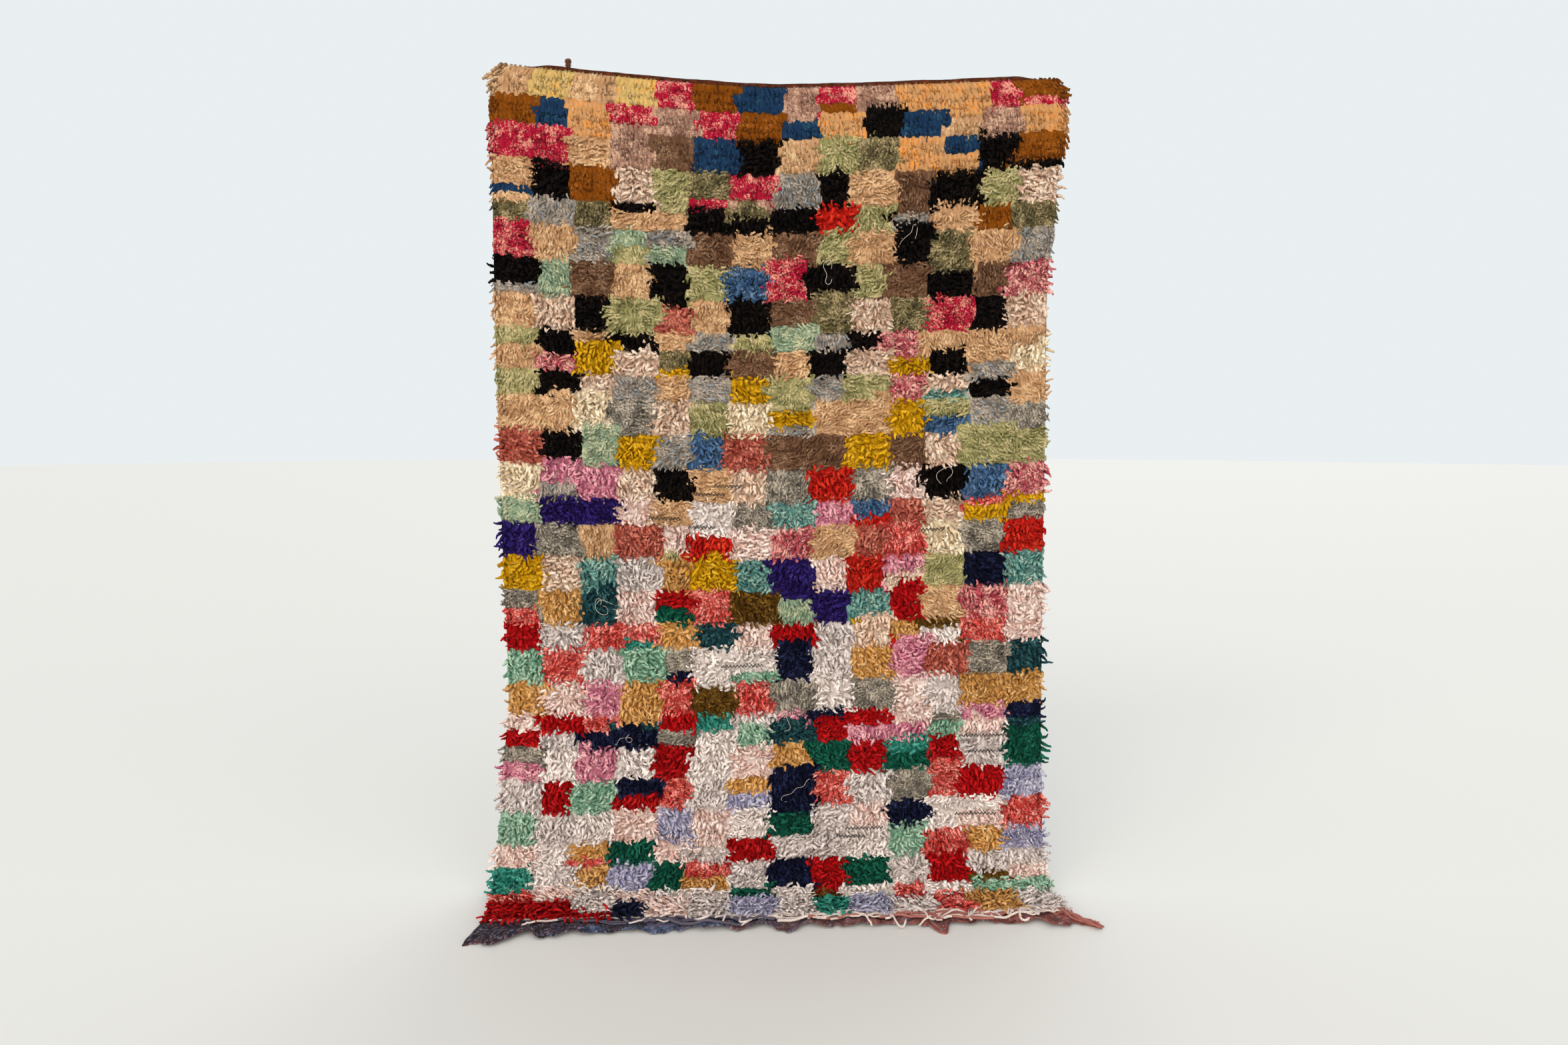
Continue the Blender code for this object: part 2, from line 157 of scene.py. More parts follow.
def add_node(tree: NodeTree, kind: str, inputs: dict | list | None = None, **settings) -> Node:
    """Adds a node with its settings and links.

    Args:
        tree: The tree that it goes into.
        kind: The node's type.
        inputs: What goes into its sockets, as in fill_sockets.
        settings: The node's own properties.

    Returns:
        The node.
    """
    node = tree.nodes.new(kind)
    for name, value in settings.items():
        setattr(node, name, value)
    fill_sockets(tree, node, inputs or {})
    return node


def add_face(bm: BMesh, corners: list[BMVert], layer: BMLayerItem,
             places: list[Pair]) -> BMFace:
    """Adds a smooth face with the places of its corners in a UV map.

    Args:
        bm: The mesh that is being built.
        corners: The face's corners.
        layer: The UV map.
        places: Where each corner lies in the map.

    Returns:
        The face.
    """
    face = bm.faces.new(corners)
    face.smooth = True
    for loop, where in zip(face.loops, places):
        loop[layer].uv = where
    return face


def to_mesh(bm: BMesh, name: str) -> Mesh:
    """Turns what was built into a mesh with its faces outwards.

    Args:
        bm: What was built, which is freed.
        name: The mesh's name.

    Returns:
        The mesh.
    """
    bmesh.ops.recalc_face_normals(bm, faces=bm.faces)
    mesh = bpy.data.meshes.new(name)
    bm.to_mesh(mesh)
    bm.free()
    return mesh


class Width(NamedTuple):
    """Where the cloth's edges are, this far down from its top end."""

    down: float
    left: float
    right: float


@dataclass(frozen=True)
class Drape:
    """The shape in which the cloth hangs: down from its top edge, round a bend and out along the floor.

    A place on the cloth is given as across, from -1 at the left to 1 at the right, and down, in metres along
    it from its top edge.
    """

    drop: float
    bend_radius: float = 0.10
    foot_run: Pair = (0.100, 0.034)
    corner_rise: Pair = (0.055, 0.022)
    sag_power: float = 1.35
    fold_depth: float = 0.009
    fold_start: float = 0.25
    folds: float = 3.5
    fold_phase: float = 0.6
    course_wander: float = 0.007
    wander_pace: Pair = (2.2, 3.0)
    even_ends: Pair = (0.08, 0.06)
    widths: tuple[Width, ...] = tuple(Width(*row) for row in (
        (0.000, -0.664, 0.646), (0.030, -0.684, 0.667), (0.100, -0.692, 0.673), (0.260, -0.688, 0.652),
        (0.500, -0.690, 0.634), (1.000, -0.687, 0.636), (1.500, -0.679, 0.639), (1.800, -0.706, 0.648),
        (1.950, -0.722, 0.663), (2.160, -0.703, 0.690),
    ))

    @property
    def bend_length(self) -> float:
        """The cloth's length round its bend."""
        return self.bend_radius * math.pi / 2

    @property
    def half_width(self) -> float:
        """Half the cloth's width at its foot."""
        return (self.widths[-1].right - self.widths[-1].left) / 2

    def rise(self, across: Array) -> Array:
        """How far the top edge stands above its middle."""
        corner = np.where(across < 0, self.corner_rise[0], self.corner_rise[1])
        return corner * np.abs(across) ** self.sag_power

    def hanging(self, across: Array) -> Array:
        """The cloth's straight length above its bend."""
        return self.drop + self.rise(across) - self.bend_radius

    def length(self, across: Array) -> Array:
        """The cloth's length from its top edge to the end of its pile."""
        run = self.foot_run[0] + (across + 1) / 2 * (self.foot_run[1] - self.foot_run[0])
        return self.hanging(across) + self.bend_length + run

    def turn(self, across: Array, down: Array) -> Array:
        """How far round its bend the cloth is, in radians."""
        return np.clip((down - self.hanging(across)) / self.bend_radius, 0.0, math.pi / 2)

    def points(self, across: Array, down: Array, out: Array | float = 0.0) -> Array:
        """Points on the cloth's back, or this far out from it towards the pile.

        Args:
            across: Places across the cloth.
            down: Places down the cloth.
            out: How far out of the back each point lies.

        Returns:
            A row of x, y and z for each place.
        """
        left = read_table(self.widths, "down", "left", down)
        right = read_table(self.widths, "down", "right", down)
        hanging = self.hanging(across)
        turn = self.turn(across, down)
        past = np.maximum(down - hanging - self.bend_length, 0.0)
        grown = smooth((down - self.fold_start) / (hanging - self.fold_start))
        faded = smooth((down - hanging) / self.bend_length)
        shift = self.fold_depth * grown * (1 - faded)
        shift = shift * np.sin(math.pi * self.folds * across + self.fold_phase)
        x = left + (across + 1) / 2 * (right - left)
        y = shift - self.bend_radius * (1 - np.cos(turn)) - past - out * np.cos(turn)
        above = np.where(down <= hanging, hanging - down, 0.0)
        z = above + self.bend_radius * (1 - np.sin(turn)) - self.drop + out * np.sin(turn)
        return np.stack([x, y, z], axis=-1)

    def course_line(self, across: Array, share: Array) -> Array:
        """Where a course lies, which is never quite level.

        Args:
            across: Places across the cloth.
            share: The course's share of the length.

        Returns:
            How far down the cloth each place lies, in metres.
        """
        length = self.length(across)
        down = share * length
        wander = drifts(across * self.wander_pace[0], down * self.wander_pace[1], 1)
        inside = smooth(down / self.even_ends[0]) * smooth((length - down) / self.even_ends[1])
        return down + self.course_wander * wander * inside

    def out_of_back(self, across: Array, down: Array) -> Array:
        """The unit vectors from the cloth's back out through its pile."""
        turn = self.turn(across, down)
        return np.stack([np.zeros_like(turn), -np.cos(turn), np.sin(turn)], axis=-1)

    def along_warp(self, across: Array, down: Array) -> Array:
        """The unit vectors down along the cloth."""
        turn = self.turn(across, down)
        return np.stack([np.zeros_like(turn), -np.sin(turn), -np.cos(turn)], axis=-1)

    def foot_line(self, across: Array) -> Array:
        """Points where the pile ends on the floor: a straight line across.

        Args:
            across: Places across the cloth.

        Returns:
            A row of x, y and z for each place.
        """
        ends = self.points(np.array([-1.0, 1.0]), self.length(np.array([-1.0, 1.0])))
        share = ((np.asarray(across) + 1) / 2)[..., None]
        return ends[0] + share * (ends[1] - ends[0])


class Strand(Enum):
    """How a block's pile is cut and how it lies."""

    RAG = "rag"
    YARN = "yarn"
    COMBED = "combed"


class Yarn(NamedTuple):
    """A colour of pile: its main tones, the flecks in them, how much of it is flecked and how it is cut."""

    name: str
    tones: tuple[str, ...]
    fleck: str
    flecked: float
    strand: Strand = Strand.RAG


# Colours as the cloth has them in even light: faded cottons and wools, most of them blends of two tones
YARNS = (
    Yarn("peach cream", ("#c89462", "#d3a473", "#b87f4c"), "#da8a3c", 0.28, Strand.COMBED),
    Yarn("tan", ("#c0936a", "#cba27c", "#ac8058"), "#dab98f", 0.28, Strand.YARN),
    Yarn("ochre brown", ("#7c420c", "#70390a", "#8c4f14"), "#9a5c24", 0.22, Strand.COMBED),
    Yarn("raspberry", ("#aa1632", "#b92340", "#920f28"), "#dc9484", 0.30, Strand.COMBED),
    Yarn("mauve grey", ("#966f5f", "#a4806e", "#845e50"), "#c69f86", 0.32, Strand.COMBED),
    Yarn("denim", ("#1b3452", "#234162", "#142840"), "#2f5a66", 0.20, Strand.COMBED),
    Yarn("straw", ("#ceac6a", "#dabd80", "#bd9c5a"), "#d68f30", 0.24, Strand.COMBED),
    Yarn("soot", ("#0b0706", "#070505", "#140d0a"), "#1e1614", 0.25),
    Yarn("taupe", ("#694a36", "#765640", "#593c2a"), "#8e7058", 0.25, Strand.YARN),
    Yarn("smoke", ("#8c8277", "#848a8e", "#766f68"), "#b4a698", 0.32, Strand.YARN),
    Yarn("sage", ("#928e5c", "#a09c6c", "#7f7a4c"), "#bcae80", 0.32, Strand.YARN),
    Yarn("pale sage", ("#869c80", "#96aa90", "#738a70"), "#b8ba98", 0.32, Strand.YARN),
    Yarn("scarlet", ("#c01f16", "#cc2e1f", "#a81510"), "#e0603e", 0.20),
    Yarn("moss tweed", ("#5f5638", "#716848", "#4a4330"), "#a1906a", 0.32, Strand.YARN),
    Yarn("mustard", ("#c8940a", "#d4a21a", "#b58406"), "#dcb83c", 0.22),
    Yarn("brick rose", ("#ad5344", "#ba6253", "#9a4438"), "#cf8470", 0.28),
    Yarn("rose blend", ("#b94a58", "#c55c68", "#a63c4a"), "#e2ada0", 0.33),
    Yarn("shell", ("#d2ae94", "#dcbca4", "#be9a82"), "#ecd8c4", 0.32),
    Yarn("sea grey", ("#578a83", "#689890", "#467874"), "#98b5a8", 0.30),
    Yarn("washed denim", ("#405f86", "#4c6e94", "#34506f"), "#7389a2", 0.25),
    Yarn("cream", ("#e4cba6", "#ecd7b6", "#d4b994"), "#f4e6cc", 0.32),
    Yarn("stone tweed", ("#716a60", "#837b70", "#5c564e"), "#b5a998", 0.32, Strand.YARN),
    Yarn("midnight", ("#0f1229", "#0b0d20", "#171c38"), "#2a3050", 0.26),
    Yarn("dusty pink", ("#dfb6a8", "#e8c8bc", "#cca095"), "#f2dfd6", 0.36),
    Yarn("pearl grey", ("#c4b6b0", "#d0c4be", "#ae9f9a"), "#e6dad4", 0.36),
    Yarn("indigo", ("#281a58", "#30206a", "#201248"), "#443680", 0.20),
    Yarn("salmon", ("#c6403a", "#d2504a", "#b4342f"), "#eea294", 0.30),
    Yarn("orchid", ("#c8728a", "#d4849a", "#b6607a"), "#e8b0b4", 0.32),
    Yarn("crimson", ("#a80c10", "#b8161a", "#92080c"), "#cc3830", 0.18),
    Yarn("jade", ("#2b8271", "#388f7e", "#216f60"), "#6aac98", 0.26),
    Yarn("bottle", ("#11523f", "#185f4b", "#0c4334"), "#34745e", 0.20),
    Yarn("petrol", ("#1a3c42", "#24484e", "#143036"), "#40686a", 0.26),
    Yarn("umber", ("#5c3e12", "#694a18", "#4c320d"), "#7e5e2c", 0.25),
    Yarn("ochre", ("#c88f4c", "#d29e5e", "#b88040"), "#dfb67c", 0.28),
    Yarn("mint", ("#74a487", "#84b296", "#649276"), "#aec8b0", 0.34),
    Yarn("lavender", ("#9a96b4", "#a8a5c0", "#8884a4"), "#c8c4d2", 0.32),
    Yarn("slate", ("#40525e", "#4e606c", "#344450"), "#70828a", 0.28),
    Yarn("chalk", ("#e4d5cd", "#ece0d9", "#d3c3bb"), "#f6ece6", 0.32),
)


class Zone(NamedTuple):
    """A stretch of the rug: its middle and reach as shares of the length, and how often each yarn comes."""

    middle: float
    reach: float
    yarns: dict[str, float]


ZONES = (
    Zone(0.035, 0.10, {
        "peach cream": 2.6, "tan": 2.2, "ochre brown": 3.2, "raspberry": 3.2, "mauve grey": 2.6,
        "denim": 1.9, "straw": 1.2, "soot": 0.9,
    }),
    Zone(0.19, 0.14, {
        "tan": 7.4, "soot": 6.6, "taupe": 2.8, "smoke": 2.6, "sage": 1.8, "pale sage": 1.0,
        "raspberry": 1.3, "moss tweed": 1.4, "scarlet": 0.35, "shell": 0.7,
    }),
    Zone(0.40, 0.14, {
        "tan": 3.2, "mustard": 3.2, "brick rose": 1.9, "rose blend": 2.6, "soot": 2.0, "smoke": 2.6,
        "sage": 2.4, "shell": 3.2, "sea grey": 1.0, "washed denim": 1.1, "cream": 2.2, "stone tweed": 1.5,
        "midnight": 0.6, "taupe": 0.4,
    }),
    Zone(0.56, 0.11, {
        "dusty pink": 2.5, "pearl grey": 1.6, "chalk": 0.5, "stone tweed": 2.3, "pale sage": 1.0,
        "sea grey": 1.4, "indigo": 1.5, "salmon": 2.7, "scarlet": 2.2, "mustard": 1.2, "ochre": 2.4,
        "shell": 2.0, "umber": 1.2, "orchid": 1.5, "midnight": 1.0,
    }),
    Zone(0.72, 0.13, {
        "crimson": 3.0, "salmon": 2.8, "orchid": 1.8, "jade": 1.2, "bottle": 0.5, "petrol": 0.8,
        "midnight": 1.9, "ochre": 3.3, "mint": 1.1, "pearl grey": 2.6, "dusty pink": 3.0, "umber": 0.8,
        "stone tweed": 1.2, "chalk": 1.9, "brick rose": 0.6,
    }),
    Zone(0.93, 0.14, {
        "chalk": 5.2, "midnight": 2.0, "ochre": 2.4, "salmon": 3.0, "slate": 0.5, "lavender": 1.5,
        "mint": 0.8, "jade": 0.7, "umber": 0.5, "crimson": 1.9, "pearl grey": 2.4, "dusty pink": 3.2,
        "bottle": 0.6, "stone tweed": 0.6,
    }),
)


@dataclass
class BlockPlan:
    """Which yarn is knotted where. The blocks are drawn by chance, as a weaver uses up rags, zone by zone."""

    courses: int
    knots: int
    seed: int
    columns: int = 14
    heights: tuple[int, ...] = (4, 4, 4, 4, 3, 3, 2)
    least_height: int = 2
    side_wander: float = 0.35
    side_pull: float = 0.12
    column_jitter: float = 0.55
    merge_share: float = 0.05
    split_share: float = 0.07
    overrun_share: float = 0.08
    stagger_share: float = 0.05
    step_share: float = 0.35
    repeat: float = 0.02
    repeat_pale: float = 0.22
    pale: frozenset[str] = frozenset({"tan", "shell", "dusty pink", "pearl grey", "chalk", "cream"})
    yarn_at: Array = field(init=False)
    block_at: Array = field(init=False)

    def __post_init__(self) -> None:
        """Draws the blocks and fills them in knot by knot."""
        rng = np.random.default_rng(self.seed)
        self.yarn_at = np.zeros((self.courses, self.knots), dtype=int)
        self.block_at = np.zeros((self.courses, self.knots), dtype=int)
        names = [yarn.name for yarn in YARNS]
        above: Array | None = None
        first, block = 0, 0
        even = np.linspace(0, self.knots, self.columns + 1)
        bounds = even.copy()
        while first < self.courses:
            height = min(int(rng.choice(self.heights)), self.courses - first)
            if self.courses - first - height < self.least_height:
                height = self.courses - first
            bounds[1:-1] += rng.normal(0, self.side_wander, self.columns - 1)
            bounds[1:-1] += self.side_pull * (even - bounds)[1:-1]
            row = np.clip(np.round(bounds + rng.normal(0, self.column_jitter, len(bounds))), 0, self.knots)
            row[0], row[-1] = 0, self.knots
            row = row.astype(int)
            weights = self.weights((first + height / 2) / self.courses)
            left = ""
            for column in range(self.columns):
                start, end = row[column], row[column + 1]
                merged = column > 0 and rng.random() < self.merge_share
                over = {} if above is None else {names[i] for i in above[start:end]}
                name = left if merged else self.draw(weights, left, over, rng)
                block += not merged
                stagger = int(rng.random() < self.stagger_share) - int(rng.random() < self.stagger_share)
                top = first + stagger * (first > 0)
                self.fill(top, first + height + 1, start, end, names.index(name), block, rng)
                if rng.random() < self.split_share and height > self.least_height:
                    other = self.draw(weights, name, over, rng)
                    cut = first + height - int(rng.integers(1, 3))
                    self.yarn_at[cut : first + height, start:end] = names.index(other)
                left = name
            above = self.yarn_at[first + height - 1].copy()
            first += height

    def weights(self, place: float) -> dict[str, float]:
        """How often each yarn comes here, mixed from the zones either side.

        Args:
            place: The share of the length.

        Returns:
            A weight for each yarn, by its name.
        """
        out: dict[str, float] = {}
        for zone in ZONES:
            near = math.exp(-(((place - zone.middle) / zone.reach) ** 4))
            for name, weight in zone.yarns.items():
                out[name] = out.get(name, 0.0) + weight * near / sum(zone.yarns.values())
        return out

    def draw(self, weights: dict[str, float], left: str, over: set[str], rng: Generator) -> str:
        """Draws a yarn, seldom the one beside or above it unless it is pale.

        Args:
            weights: How often each yarn comes here.
            left: The yarn to the left.
            over: The yarns right above.
            rng: The source of chance.

        Returns:
            The yarn's name.
        """
        names = list(weights)
        shares = np.array([weights[name] for name in names])
        for i, name in enumerate(names):
            if name == left or name in over:
                shares[i] *= self.repeat_pale if name in self.pale else self.repeat
        return str(rng.choice(names, p=shares / shares.sum()))

    def fill(self, top: int, foot: int, start: int, end: int, yarn: int, block: int,
             rng: Generator) -> None:
        """Fills one block, its sides stepping by a knot and its top now and then a course higher.

        Args:
            top: Its first course.
            foot: The course after its last.
            start: Its first knot.
            end: The knot after its last.
            yarn: Its yarn's number.
            block: Its own number.
            rng: The source of chance.
        """
        for course in range(top, min(foot, self.courses)):
            step = int(rng.choice((-1, 1))) * (rng.random() < self.step_share)
            a = max(start + step * (start > 0), 0)
            self.yarn_at[course, a : end + 1] = yarn
            self.block_at[course, a : end + 1] = block
        if top and rng.random() < self.overrun_share:
            a, b = sorted(rng.integers(start, end + 1, 2))
            self.yarn_at[top - 1, a:b] = yarn
            self.block_at[top - 1, a:b] = block


class Form(NamedTuple):
    """A lock's shape: its sizes, how its line leaves the ground and lies over, and how it ends."""

    length: float
    width: float
    thickness: float
    start_deg: float
    end_deg: float
    sway_deg: float
    twist_deg: float
    tip: float


RAG_FORMS = (
    Form(0.028, 0.0090, 0.0048, 8, 98, -66, 44, 0.50),
    Form(0.026, 0.0094, 0.0048, 16, 92, -46, -30, 0.55),
    Form(0.024, 0.0108, 0.0042, 10, 70, -22, -18, 0.70),
    Form(0.027, 0.0098, 0.0044, 10, 84, 30, 24, 0.62),
    Form(0.026, 0.0098, 0.0044, 18, 80, 50, -36, 0.60),
    Form(0.029, 0.0086, 0.0044, 8, 90, 62, 40, 0.30),
)
YARN_FORMS = (
    Form(0.028, 0.0066, 0.0044, 28, 100, -38, 0, 0.60),
    Form(0.027, 0.0070, 0.0044, 22, 96, -20, 0, 0.60),
    Form(0.026, 0.0072, 0.0044, 20, 94, 26, 0, 0.60),
    Form(0.024, 0.0080, 0.0042, 10, 80, 44, 0, 0.55),
)
COMBED_FORMS = (
    Form(0.026, 0.0082, 0.0020, 46, 94, 9, 0, 0.80),
    Form(0.028, 0.0074, 0.0020, 54, 96, -9, 0, 0.80),
    Form(0.025, 0.0090, 0.0020, 40, 92, 3, 0, 0.80),
)


class Lay(Enum):
    """Which way a block's pile lies: down, to one side, or out from the block's middle."""

    FALL = "fall"
    DRAG = "drag"
    FAN = "fan"


@dataclass(frozen=True)
class Laying:
    """How one cut of pile is laid: its forms, locks to a knot, how often it lies each way, and how evenly."""

    forms: tuple[Form, ...]
    locks: int
    rings: tuple[float, ...]
    lays: dict[Lay, float]
    spread_deg: float
    against_share: float
    height_spread: float


LAYINGS = {
    Strand.RAG: Laying(RAG_FORMS, 2, (0.0, 0.40, 0.75), {Lay.FALL: 0.48, Lay.DRAG: 0.34, Lay.FAN: 0.18},
                       34, 0.14, 0.16),
    Strand.YARN: Laying(YARN_FORMS, 3, (0.0, 0.42, 0.76), {Lay.FALL: 0.30, Lay.DRAG: 0.60, Lay.FAN: 0.10},
                        26, 0.16, 0.14),
    Strand.COMBED: Laying(COMBED_FORMS, 4, (0.0, 0.42, 0.76), {Lay.FALL: 1.0}, 13, 0.0, 0.05),
}


def lock_mesh(name: str, form: Form, rings: tuple[float, ...]) -> Mesh:
    """Builds one lock, root at the origin, rising along +Z and lying over towards -Y.

    Args:
        name: The mesh's name.
        form: The lock's shape.
        rings: Where along the lock its three-sided rings lie.

    Returns:
        A closed mesh with a share along it at each point and a UV place at each corner.
    """
    steps = 24
    place, line = Vector(), []
    for i in range(steps + 1):
        t = i / steps
        lean = math.radians(form.start_deg + (form.end_deg - form.start_deg) * t**0.9)
        sway = math.radians(form.sway_deg) * t * t
        ahead = Vector((math.sin(sway) * math.sin(lean), -math.cos(sway) * math.sin(lean), math.cos(lean)))
        line.append((place.copy(), ahead))
        place = place + ahead * (form.length / steps)

    bm = bmesh.new()
    along = bm.verts.layers.float.new("along")
    spot = bm.loops.layers.uv.new("spot")
    loops: list[list[BMVert]] = []
    for t in (*rings, 1.0):
        point, ahead = line[round(t * steps)]
        side = Vector((1, 0, 0)) - ahead * ahead.x
        side.normalize()
        side = Matrix.Rotation(math.radians(form.twist_deg) * t, 3, ahead) @ side
        up = side.cross(ahead)
        # Thin at the root, full past its middle, then as thick as its tip
        fat = form.tip if t == 1.0 else 0.62 + 0.38 * math.sin(math.pi * min(t * 1.15 + 0.12, 1.0))
        w, h = form.width * fat / 2, form.thickness * (0.55 + 0.45 * fat)
        corners = (side * w - up * h * 0.4, up * h * 0.6, side * -w - up * h * 0.4)
        loops.append([bm.verts.new(point + c) for c in corners])
        for v in loops[-1]:
            v[along] = t

    # In the lock's square of the map root and tip lie side by side, with its three sides as strips above
    stops = [0.12 + 0.84 * t for t in (*rings, 1.0)]
    for k in range(len(loops) - 1):
        low, high = loops[k], loops[k + 1]
        for i in range(3):
            j = (i + 1) % 3
            a, b = 0.04 + 0.31 * i, 0.04 + 0.31 * i + 0.28
            add_face(bm, (low[i], low[j], high[j], high[i]), spot,
                     [(a, stops[k]), (b, stops[k]), (b, stops[k + 1]), (a, stops[k + 1])])
    add_face(bm, loops[0][::-1], spot, [(0.04, 0.02), (0.32, 0.02), (0.18, 0.09)])
    add_face(bm, loops[-1], spot, [(0.40, 0.02), (0.68, 0.02), (0.54, 0.09)])
    bmesh.ops.triangulate(bm, faces=bm.faces)
    return to_mesh(bm, name)


def new_material(name: str) -> tuple[Material, NodeTree, Node]:
    """Starts a material whose tree holds only a shader and an output.

    Args:
        name: The material's name.

    Returns:
        The material, its tree and its shader.
    """
    material = bpy.data.materials.new(name)
    material.use_nodes = True
    tree = material.node_tree
    tree.nodes.clear()
    shader = add_node(tree, "ShaderNodeBsdfPrincipled")
    add_node(tree, "ShaderNodeOutputMaterial", {"Surface": shader})
    return material, tree, shader


def add_ramp(tree: NodeTree, share: Node,
             stops: Stops) -> Node:
    """Adds a colour ramp.

    Args:
        tree: The tree that it goes into.
        share: The node that the ramp is read by.
        stops: Places from 0 to 1, in rising order, each with its colour.

    Returns:
        The ramp's node.
    """
    node = add_node(tree, "ShaderNodeValToRGB", {"Fac": share})
    ramp = node.color_ramp
    for place, _ in stops[1:-1]:
        ramp.elements.new(place)
    for element, (place, code) in zip(ramp.elements, stops):
        element.position, element.color = place, linear(code)
    return node


@dataclass(frozen=True)
class RagPile:
    """Rag strips and yarn, knotted and cut: matt, softly sheened fibres, flecked by the blend in the yarn."""

    roughness: float = 0.95
    sheen: float = 0.012
    fleck_size: float = 0.0045
    patch_size: float = 0.026
    patchiness: float = 0.42
    fleck_edge: float = 0.80
    fleck_crispness: float = 9.0
    fibre_size: float = 0.0012
    streaks: Pair = (900.0, 130.0)
    root_shade: float = 0.70

    def material(self) -> Material:
        """Builds the material, which reads each lock's own colours.

        Returns:
            The material.
        """
        material, tree, shader = new_material("rag_pile")
        add = partial(add_node, tree)
        yarn = add(ATTRIBUTE, attribute_name="yarn")
        fleck = add(ATTRIBUTE, attribute_name="fleck")
        along = add(ATTRIBUTE, attribute_name="along")
        place = add("ShaderNodeTexCoord").outputs["Object"]
        flecks = add(NOISE, {
            "Vector": place, "Scale": 1 / self.fleck_size, "Detail": 2.0, "Roughness": 0.6,
        })
        patches = add(NOISE, {
            "Vector": place, "Scale": 1 / self.patch_size, "Detail": 2.0, "Roughness": 0.5,
        })
        mixed = add(MIX, {0: self.patchiness, 2: flecks, 3: patches}, data_type="FLOAT")
        worn = add(RANGE, [mixed, 0.13, 0.87])
        edge = add(MATH, [self.fleck_edge, fleck.outputs["Alpha"]], operation="SUBTRACT")
        over = add(MATH, [worn, edge], operation="SUBTRACT")
        share = add(MATH, [over, self.fleck_crispness], use_clamp=True, **TIMES)
        blend = add(MIX, {0: share, 6: yarn, 7: fleck}, **BLEND)
        fibres = add(NOISE, {
            "Vector": place, "Scale": 1 / self.fibre_size, "Detail": 1.0, "Roughness": 0.5,
        })
        spread = add(VECTOR_MATH, [add(UV_MAP, uv_map="OFBake"), (*self.streaks, 1.0)], **TIMES)
        strands = add(NOISE, {"Vector": spread, "Scale": 1.0})
        hairs = add(MIX, {0: 0.5, 2: fibres, 3: strands}, data_type="FLOAT")
        mottle = add(RANGE, [hairs, 0.36, 0.64, 0.82, 1.12])
        depth = along.outputs["Fac"]
        shade = add(RANGE, [depth, 0.0, 0.55, self.root_shade], interpolation_type="SMOOTHSTEP")
        faded = add(RANGE, [patches, 0.32, 0.68, 0.88, 1.10])
        uneven = add(MATH, [mottle, faded], **TIMES)
        light = add(MATH, [uneven, shade], **TIMES)
        fill_sockets(tree, shader, {
            "Base Color": add(MIX, {0: 1.0, 6: blend, 7: light}, **TINT),
            "Normal": add(BUMP, {"Height": hairs, "Strength": 0.5, "Distance": 0.0010}),
            "Roughness": self.roughness, "Sheen Weight": self.sheen, "Sheen Roughness": 0.5,
            "Specular IOR Level": 0.04,
        })
        return material


@dataclass(frozen=True)
class KnottedBack:
    """The back of the ground: rows of small knots in the pile's colours, between rows of brown-grey weft."""

    picks_a_course: int = 9
    loops_a_knot: int = 2
    wefts: Stops = (
        (0.0, "#4e3c30"), (0.25, "#8a6f58"), (0.45, "#b59c82"), (0.6, "#8c8178"), (0.78, "#7a4a40"),
        (1.0, "#c2b2a0"),
    )

    def material(self) -> Material:
        """Builds the material, which reads the cloth's own UV map, in knots and courses.

        Returns:
            The material.
        """
        material, tree, shader = new_material("knotted_ground")
        add = partial(add_node, tree)
        yarn = add(ATTRIBUTE, attribute_name="yarn")
        uv = add(UV_MAP, uv_map="weave")
        split = add("ShaderNodeSeparateXYZ", {"Vector": uv})
        knot, course = split.outputs["X"], split.outputs["Y"]
        row = add(MATH, [course], operation="FRACT")
        off = add(MATH, [row, 0.5], operation="SUBTRACT")
        far = add(MATH, [off], operation="ABSOLUTE")
        wobble = add(NOISE, {"Vector": uv, "Scale": 1.3})
        edge = add(RANGE, [wobble, 0.0, 1.0, 0.10, 0.30])
        past = add(MATH, [far, edge], operation="SUBTRACT")
        in_weft = add(MATH, [past, 24.0], use_clamp=True, **TIMES)
        picks = add(MATH, [course, math.tau * self.picks_a_course], **TIMES)
        pick_wave = add(MATH, [picks], operation="SINE")
        loops = add(MATH, [knot, math.tau * self.loops_a_knot], **TIMES)
        loop_wave = add(MATH, [loops], operation="SINE")
        relief = add(MIX, {0: in_weft, 2: loop_wave, 3: pick_wave}, data_type="FLOAT")
        grain = add(NOISE, {"Vector": uv, "Scale": 3.5, "Detail": 3.0})
        whole = add(MATH, [course, 0.5], operation="ADD")
        shot = add(MATH, [whole], operation="FLOOR")
        slow = add(MATH, [knot, 0.006], **TIMES)
        skein = add(NOISE, {
            "Vector": add("ShaderNodeCombineXYZ", {"X": slow, "Y": shot}),
            "Scale": 0.61, "Detail": 1.0,
        })
        drawn = add(RANGE, [skein, 0.34, 0.66])
        darker = add(RANGE, [grain, 0.3, 0.7, 0.62, 1.1])
        weft = add(MIX, {0: 1.0, 6: add_ramp(tree, drawn, self.wefts), 7: darker}, **TINT)
        blend = add(MIX, {0: in_weft, 6: yarn, 7: weft}, **BLEND)
        # Painted shade: the colour darkens in the grooves between the knots' loops and the picks
        groove_shading = add(RANGE, [relief, -1.0, 0.2, 0.55])
        fill_sockets(tree, shader, {
            "Base Color": add(MIX, {0: 1.0, 6: blend, 7: groove_shading}, **TINT),
            "Normal": add(BUMP, {"Height": relief, "Strength": 0.8, "Distance": 0.0012}),
            "Roughness": 0.95, "Sheen Weight": 0.15, "Specular IOR Level": 0.2,
        })
        return material


